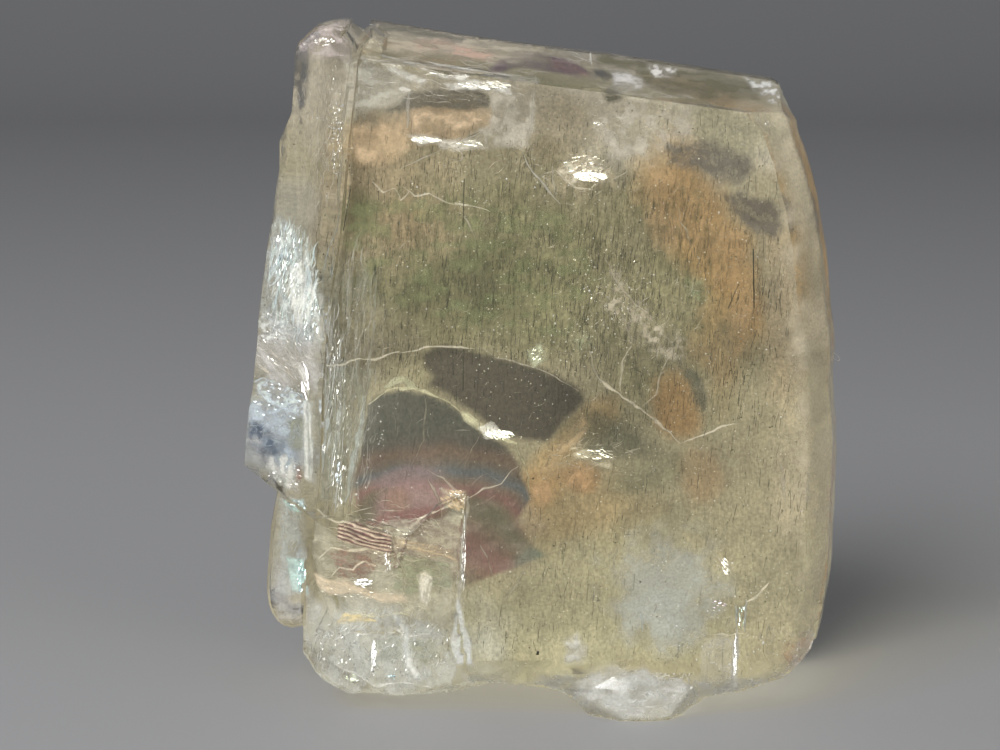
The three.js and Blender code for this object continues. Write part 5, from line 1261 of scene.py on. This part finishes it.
# Cleavage flashes, each a crowd of flat mirror-like flakes that face the key light alike: middle, radii,
# how many, half length, half width, lean from level in degrees, depth, spread of their facing, colour.
FLASHES = [
    ((-7, 13.25), (0.17, 0.47), 160, 0.1, 0.02, 84, 0.2, 6, (0.9, 0.96, 0.96)),
    ((-6.6, 12.2), (0.26, 0.76), 150, 0.08, 0.014, 84, 0.2, 9, (0.8, 0.92, 0.92)),
    ((-7.2, 13.77), (0.4, 1.05), 170, 0.1, 0.012, 82, 0.22, 10, (0.86, 0.93, 0.92)),
    ((-7.6, 11.91), (0.4, 0.47), 90, 0.03, 0.015, 60, 0.22, 12, (0.9, 0.93, 0.92)),
    ((-6.8, 10.39), (0.11, 0.53), 24, 0.16, 0.02, -70, 0.2, 5, (0.95, 0.9, 0.88)),
    ((-7.49, 11.35), (0.63, 0.7), 60, 0.08, 0.01, -50, 0.25, 10, (0.9, 0.88, 0.82)),
    ((-7.54, 9.64), (0.69, 0.64), 60, 0.04, 0.02, -30, 0.3, 10, (0.8, 0.9, 0.95)),
    ((-7.4, 7.52), (0.52, 0.35), 40, 0.05, 0.02, -30, 0.2, 9, (0.92, 0.9, 0.88)),
    ((-7.06, 6.62), (0.23, 0.15), 30, 0.04, 0.015, 0, 0.2, 6, (0.72, 0.9, 0.95)),
    ((-7.03, 4.51), (0.14, 0.47), 70, 0.06, 0.02, 78, 0.2, 6, (0.66, 0.92, 0.92)),
    ((-6.11, 19.98), (0.29, 0.12), 24, 0.05, 0.02, 12, 0.2, 6, (0.95, 0.93, 0.9)),
    ((-4.21, 19.27), (0.34, 0.06), 20, 0.1, 0.012, -24, 0.6, 5, (0.95, 0.94, 0.88)),
    ((-2.78, 19.08), (0.46, 0.06), 26, 0.12, 0.014, -8, 0.6, 5, (0.95, 0.94, 0.88)),
    ((-1.4, 18.77), (0.43, 0.12), 90, 0.13, 0.02, -14, 0.6, 5, (0.96, 0.95, 0.9)),
    ((-2.18, 18.77), (0.23, 0.06), 24, 0.08, 0.012, -14, 0.6, 5, (0.96, 0.95, 0.9)),
    ((-3.35, 17.23), (0.4, 0.09), 40, 0.1, 0.016, -14, 1, 5, (0.95, 0.93, 0.84)),
    ((-2.09, 17.12), (0.34, 0.09), 30, 0.08, 0.012, -4, 1, 8, (0.9, 0.92, 0.78)),
    ((1.55, 17.68), (0.17, 0.04), 8, 0.06, 0.012, -8, 1, 8, (0.95, 0.95, 0.9)),
    ((1.3, 16.19), (0.43, 0.12), 130, 0.1, 0.022, -18, 1.6, 4, (0.96, 0.93, 0.82)),
    ((1.12, 16.5), (0.63, 0.29), 90, 0.07, 0.01, 10, 1.6, 10, (0.9, 0.86, 0.74)),
    ((-1.26, 8.74), (0.4, 0.12), 110, 0.1, 0.018, -26, 2, 5, (0.93, 0.96, 0.8)),
    ((1.5, 8.15), (0.52, 0.15), 40, 0.1, 0.01, -12, 1.6, 8, (0.92, 0.9, 0.76)),
    ((-0.2, 11.08), (0.17, 0.2), 30, 0.04, 0.015, 40, 2, 9, (0.86, 0.92, 0.74)),
    ((-5.19, 4.33), (0.23, 0.09), 60, 0.08, 0.025, 8, 0.35, 4, (0.97, 0.97, 0.95)),
    ((-4.93, 2.01), (0.06, 0.47), 60, 0.14, 0.025, 88, 0.35, 4, (0.97, 0.97, 0.97)),
    ((-4.5, 5.24), (0.11, 0.7), 50, 0.06, 0.015, 84, 0.35, 7, (0.95, 0.95, 0.95)),
    ((-5.82, 2.25), (0.69, 0.7), 80, 0.04, 0.015, 70, 0.3, 12, (0.92, 0.94, 0.94)),
    ((-3.53, 2.25), (1.15, 0.88), 120, 0.05, 0.012, 70, 0.3, 12, (0.92, 0.93, 0.92)),
    ((-4.39, 1.48), (0.11, 0.12), 14, 0.04, 0.02, 0, 0.3, 6, (0.7, 0.9, 0.95)),
    ((-5.59, 1.39), (0.17, 0.15), 14, 0.04, 0.02, 0, 0.3, 6, (0.85, 0.95, 0.7)),
    ((-2.49, 6.86), (0.34, 0.23), 50, 0.06, 0.01, -38, 0.3, 9, (0.95, 0.92, 0.82)),
    ((-5.39, 4.02), (1.15, 0.18), 60, 0.06, 0.012, -10, 0.35, 9, (0.94, 0.9, 0.8)),
    ((-2.29, 5.45), (0.06, 1.34), 70, 0.12, 0.01, 94, 0.2, 6, (0.95, 0.95, 0.92)),
    ((-4.1, 5.6), (1.72, 0.76), 120, 0.05, 0.008, -16, 0.4, 10, (0.92, 0.88, 0.76)),
    ((-5.88, 9.18), (0.29, 2.63), 160, 0.08, 0.008, 86, 0.4, 9, (0.92, 0.93, 0.9)),
    ((-6.31, 8.39), (0.04, 0.15), 10, 0.08, 0.02, 88, 0.3, 4, (0.97, 0.97, 0.95)),
    ((-5.88, 7.58), (0.09, 0.35), 24, 0.06, 0.01, 80, 0.3, 7, (0.75, 0.88, 0.97)),
    ((-5.82, 17.79), (0.17, 1.58), 80, 0.03, 0.01, 86, 0.4, 12, (0.95, 0.95, 0.93)),
    ((5.66, 1.88), (0.04, 0.82), 70, 0.12, 0.012, 94, 0.4, 5, (0.95, 0.95, 0.93)),
    ((5.31, 4.78), (0.09, 0.26), 26, 0.08, 0.01, -52, 1, 6, (0.95, 0.92, 0.84)),
    ((5.8, 3.23), (0.14, 0.38), 30, 0.06, 0.01, 94, 0.4, 7, (0.7, 0.9, 0.86)),
    ((5.14, 3.63), (0.23, 0.12), 16, 0.04, 0.012, 0, 0.6, 9, (0.85, 0.72, 0.9)),
    ((7.58, 2.19), (0.2, 0.29), 70, 0.05, 0.02, 60, 0.3, 8, (0.95, 0.93, 0.9)),
    ((2.79, 1.03), (2.3, 0.47), 150, 0.04, 0.015, 10, 0.3, 14, (0.93, 0.94, 0.94)),
    ((6.46, 18.57), (0.52, 0.26), 110, 0.06, 0.02, -30, 0.25, 10, (0.93, 0.95, 0.95)),
    ((3.22, 19.25), (0.4, 0.15), 40, 0.06, 0.02, -12, 0.2, 9, (0.95, 0.95, 0.93)),
    ((0.92, 19.61), (0.46, 0.15), 40, 0.03, 0.014, 60, 0.2, 12, (0.9, 0.95, 0.97)),
    ((1.64, 12.96), (1.44, 1.17), 90, 0.03, 0.008, 40, 1.4, 14, (0.92, 0.9, 0.8)),
]


def inward_way(place):
    """The unit way towards a place outside, as it runs inside the crystal behind the front cleavage."""
    way = np.array(place) - LOOK_AT
    way = way / np.linalg.norm(way) / INDEX
    way[1] = -math.sqrt(1 - way[0] ** 2 - way[2] ** 2)
    return way


def flashes():
    """Flat six-sided flakes. Each one's normal lies halfway between eye and key light, give or take."""
    rng = np.random.default_rng(FLASH_SEED)
    x, z, wide, tall, long, broad, lean, depth, spread, *tint = repeated(FLASHES)
    count = len(x)
    x, z = scattered(rng, count, x, z, wide, tall)
    middle = under_skin(x, z, depth * rng.uniform(0.8, 1.5, count))
    facing = inward_way(EYE) + inward_way(KEY_PLACE)
    facing = facing / np.linalg.norm(facing) + np.radians(spread)[:, None] * rng.normal(0, 0.7, (count, 3))
    facing /= np.linalg.norm(facing, axis=1, keepdims=True)
    lean = np.radians(lean + rng.normal(0, 8, count))
    first = np.stack([np.cos(lean), 0 * lean, np.sin(lean)], -1)
    first -= (first * facing).sum(1, keepdims=True) * facing
    second = np.cross(facing, first)
    scale = rng.uniform(0.4, 1.2, (count, 1))
    ring = np.radians([0, 55, 130, 180, 240, 305])
    points = (
        middle[:, None]
        + (first * long[:, None] * scale)[:, None] * np.cos(ring)[:, None]
        + (second * broad[:, None] * scale)[:, None] * np.sin(ring)[:, None]
    )
    kept = room(points.reshape(-1, 3)).reshape(count, 6).min(axis=1) > LINE_MARGIN
    shine = rng.uniform(0.5, 1, (count, 1))
    points, tint = points[kept], (np.stack(tint, -1) * shine)[kept]
    faces = np.arange(6) + 6 * np.arange(len(points))[:, None]
    sheen = mineral("cleavage_flash", 0.08, 0.15, 0.22, metallic=1.0)
    return piece_of("flashes", points, faces, sheen, tint=np.repeat(tint, 6, axis=0))


def grains(name, middle, size, tint, material, margin, rng):
    """Eight-sided grains: the six points of an octahedron, stretched at random, round each middle."""
    inside = room(middle) > margin
    middle, size, tint = middle[inside], size[inside], tint[inside]
    corner = np.array([[1, 0, 0], [-1, 0, 0], [0, 1, 0], [0, -1, 0], [0, 0, 1], [0, 0, -1]], float)
    shape = [[0, 2, 4], [2, 1, 4], [1, 3, 4], [3, 0, 4], [2, 0, 5], [1, 2, 5], [3, 1, 5], [0, 3, 5]]
    points = middle[:, None] + corner * rng.uniform(0.5, 1.6, (len(middle), 1, 3)) * size[:, None, None]
    faces = (np.array(shape) + 6 * np.arange(len(middle))[:, None, None]).reshape(-1, 3)
    return piece_of(name, points, faces, material, tint=np.repeat(tint, 6, axis=0))


# Where bright specks, painted glints, gather: middle, radii, how many, largest size, depth.
GLINT_SPECKS = [
    ((-5.76, 17.79), (0.14, 1.75), 60, 0.03, 0.6), ((-6.05, 17.93), (0.29, 1.17), 60, 0.03, 0.6),
    ((4.74, 18.46), (0.98, 0.18), 16, 0.035, 0.3), ((1.93, 12.96), (1.29, 1.17), 90, 0.03, 1.2),
    ((1.21, 11.49), (1.29, 0.73), 60, 0.035, 1.6), ((6.23, 18.07), (0.63, 0.53), 40, 0.04, 0.4),
    ((-6.97, 12.96), (0.63, 1.61), 130, 0.035, 1.75), ((-7.4, 9.76), (0.8, 1.46), 90, 0.035, 1.75),
    ((-4.39, 5), (1.72, 1.46), 150, 0.04, 0.8), ((-4.67, 2.4), (2.01, 1.17), 150, 0.045, 0.6),
    ((2.79, 1.03), (2.3, 0.53), 130, 0.04, 0.4), ((6.23, 1.94), (1.72, 0.73), 70, 0.04, 0.5),
    ((-5.39, 9.76), (0.46, 3.21), 110, 0.03, 0.7), ((-0.66, 15.96), (3.44, 0.73), 60, 0.03, 0.8),
    ((0.49, 12.96), (6.03, 3.5), 900, 0.02, 2), ((3.94, 6.2), (4.3, 3.8), 500, 0.02, 2),
    ((0.49, 19.47), (5.17, 0.35), 80, 0.035, 0.5), ((1.64, 9.76), (5.74, 8.18), 420, 0.022, 1.4),
    ((-4.67, 8.88), (0.14, 0.88), 20, 0.03, 0.6), ((4.51, 3.78), (1.72, 1.46), 60, 0.03, 0.8),
]


def specks():
    """Small bright eight-sided grains, painted glints, spread evenly in ovals."""
    rng = np.random.default_rng(SPECK_SEED)
    middle, size = [], []
    for (x, z), (wide, tall), count, largest, depth in GLINT_SPECKS:
        px, pz = scattered(rng, count, x, z, wide, tall)
        middle.append(under_skin(px, pz, depth + rng.uniform(0, 0.4, count)))
        size.append(largest * rng.uniform(0.25, 1, count) ** 2)
    middle, size = np.concatenate(middle), np.concatenate(size)
    tint = shown(WHITE) * rng.uniform(0.8, 1.1, (len(middle), 1))
    bright = mineral("painted_glint_specks", 0.05, 0.1, 0.2)
    return grains("specks", middle, size, tint, bright, SPECK_MARGIN, rng)


def flecks():
    """Fine grains all through the crystal, most of them dark and some cream, fewer in the windows."""
    rng = np.random.default_rng(FLECK_SEED)
    x, z = rng.uniform(*FLECK_X, FLECK_COUNT), rng.uniform(*FLECK_Z, FLECK_COUNT)
    crowd = 0.35 + 0.5 * spot(x, z, *FLECK_CROWD, edge=0.6)
    kept = rng.uniform(0, 1, FLECK_COUNT) < crowd * (1 - 0.85 * in_windows(x, z))
    x, z = x[kept], z[kept]
    middle = behind(x, z, rng.uniform(0.5, 5.8, len(x)))
    pale = rng.uniform(0, 1, (len(x), 1)) < 0.4
    tint = np.where(pale, shown(FLECK_PALE), shown(FLECK_DARK)) * rng.uniform(0.7, 1.2, (len(x), 1))
    size = rng.uniform(0.008, 0.024, len(x))
    return grains("flecks", middle, size, tint, mineral("flecks", 0.05, 0.2, 0.5), FLECK_MARGIN, rng)


# ---- The loose fibre --------------------------------------------------------------------------

# It clings to the right edge: places along its loop, its radius, the step along it, its colour.
LINT = [
    (8.59, -1.16, 10.69), (8.645, -1.15, 10.655), (8.719, -1.12, 10.6), (8.781, -1.1, 10.52),
    (8.793, -1.1, 10.46), (8.757, -1.12, 10.424), (8.704, -1.14, 10.442), (8.659, -1.16, 10.49),
    (8.59, -1.17, 10.535),
]
LINT_RADIUS, LINT_STEP, LINT_COLOUR = 0.012, 0.012, [0.4, 0.38, 0.39]


def lint():
    """A loose fibre, closed at both ends: a ring of six points round each place of its smoothed loop."""
    line, _ = resampled(LINT, LINT_STEP)
    for _ in range(4):
        line[1:-1] = (line[:-2] + 2 * line[1:-1] + line[2:]) / 4
    way = np.gradient(line, axis=0)
    side = np.cross(way, [0, 1, 0])
    side /= np.linalg.norm(side, axis=1)[:, None]
    other = np.cross(side, way / np.linalg.norm(way, axis=1)[:, None])
    turn = np.arange(6)[:, None] * math.pi / 3
    points = line[:, None] + LINT_RADIUS * (np.cos(turn) * side[:, None] + np.sin(turn) * other[:, None])
    k = np.arange(6)
    wall = np.stack([k, k + 6, (k + 1) % 6 + 6, (k + 1) % 6], -1)
    walls = (wall + 6 * np.arange(len(line) - 1)[:, None, None]).reshape(-1, 4)
    ends = np.array([[0, 1, 2, 3], [0, 3, 4, 5]])
    faces = np.concatenate([walls, ends, ends[:, ::-1] + 6 * (len(line) - 1)])
    tint = np.full((len(line) * 6, 3), LINT_COLOUR)
    return piece_of("lint", points, faces, mineral("lint", 0.05, 0.15, 0.8), tint=tint)


# ---- The studio -------------------------------------------------------------------------------

def studio_floor():
    """A pale floor that sweeps up behind: flat, then a quarter circle, then straight up."""
    turn = np.linspace(0, math.pi / 2, 17)
    y = np.hstack([FLOOR_FRONT, FLOOR_BEND + BEND_RADIUS * np.sin(turn), FLOOR_BEND + BEND_RADIUS])
    z = np.hstack([0, BEND_RADIUS * (1 - np.cos(turn)), WALL_TOP]) - FLOOR_DROP
    left, right = (np.stack([0 * y + side, y, z], -1) for side in (-FLOOR_SIDE, FLOOR_SIDE))
    points = np.stack([left, right], 1).reshape(-1, 3) * MM
    mesh = bpy.data.meshes.new("studio_floor")
    mesh.from_pydata(points.tolist(), [], grid_faces(len(y), 2).tolist())
    mesh.shade_smooth()
    finish = {"Base Color": FLOOR_COLOUR, "Roughness": FLOOR_ROUGHNESS}
    mesh.materials.append(new_material("pale_floor", finish)[0])
    floor = bpy.data.objects.new("studio_floor", mesh)
    bpy.context.scene.collection.objects.link(floor)


def area_light(name, place, size, watts):
    """A square lamp that looks at the crystal's lower half."""
    data = bpy.data.lights.new(name, "AREA")
    data.shape = "RECTANGLE"
    data.size = data.size_y = size * MM
    data.energy = watts
    lamp = bpy.data.objects.new(name, data)
    lamp.location = Vector(place) * MM
    lamp.rotation_euler = (Vector(LAMP_AIM) - Vector(place)).to_track_quat("-Z", "Y").to_euler()
    bpy.context.scene.collection.objects.link(lamp)


def studio():
    """The floor, the two lamps and the room's even light."""
    studio_floor()
    area_light("key", KEY_PLACE, KEY_SIZE, KEY_WATTS)
    area_light("fill", FILL_PLACE, FILL_SIZE, FILL_WATTS)
    world = bpy.data.worlds.new("room")
    world.use_nodes = True
    background = world.node_tree.nodes["Background"]
    background.inputs["Color"].default_value = ROOM_COLOUR
    background.inputs["Strength"].default_value = ROOM_STRENGTH
    bpy.context.scene.world = world
    bpy.context.scene.view_settings.view_transform = "Standard"


def camera():
    """The camera, level but for its elevation, looking along +Y."""
    data = bpy.data.cameras.new("camera")
    data.lens = LENS
    data.sensor_width = SENSOR
    data.clip_start = 1 * MM
    eye = bpy.data.objects.new("camera", data)
    eye.location = EYE * MM
    eye.rotation_euler = (math.pi / 2 - RISE, 0, 0)
    bpy.context.scene.collection.objects.link(eye)
    bpy.context.scene.camera = eye


GRAIN = grain_group()
skin = crystal_skin()
skin.data.materials.clear()
skin.data.materials.append(sanidine_glass())
SKIN_TREE = BVHTree.FromObject(skin, bpy.context.evaluated_depsgraph_get())
ENTRY = entry_map()
FILM = veil("films", 0.07, 0.2, 0.12, roughness=0.4)
FINE_LINE = veil("fine_lines", 0.06, 0.25, 0.1, roughness=0.3)
deep_haze()
needles()
cracks()
hairlines()
films()
striations()
flashes()
specks()
flecks()
lint()
studio()
camera()
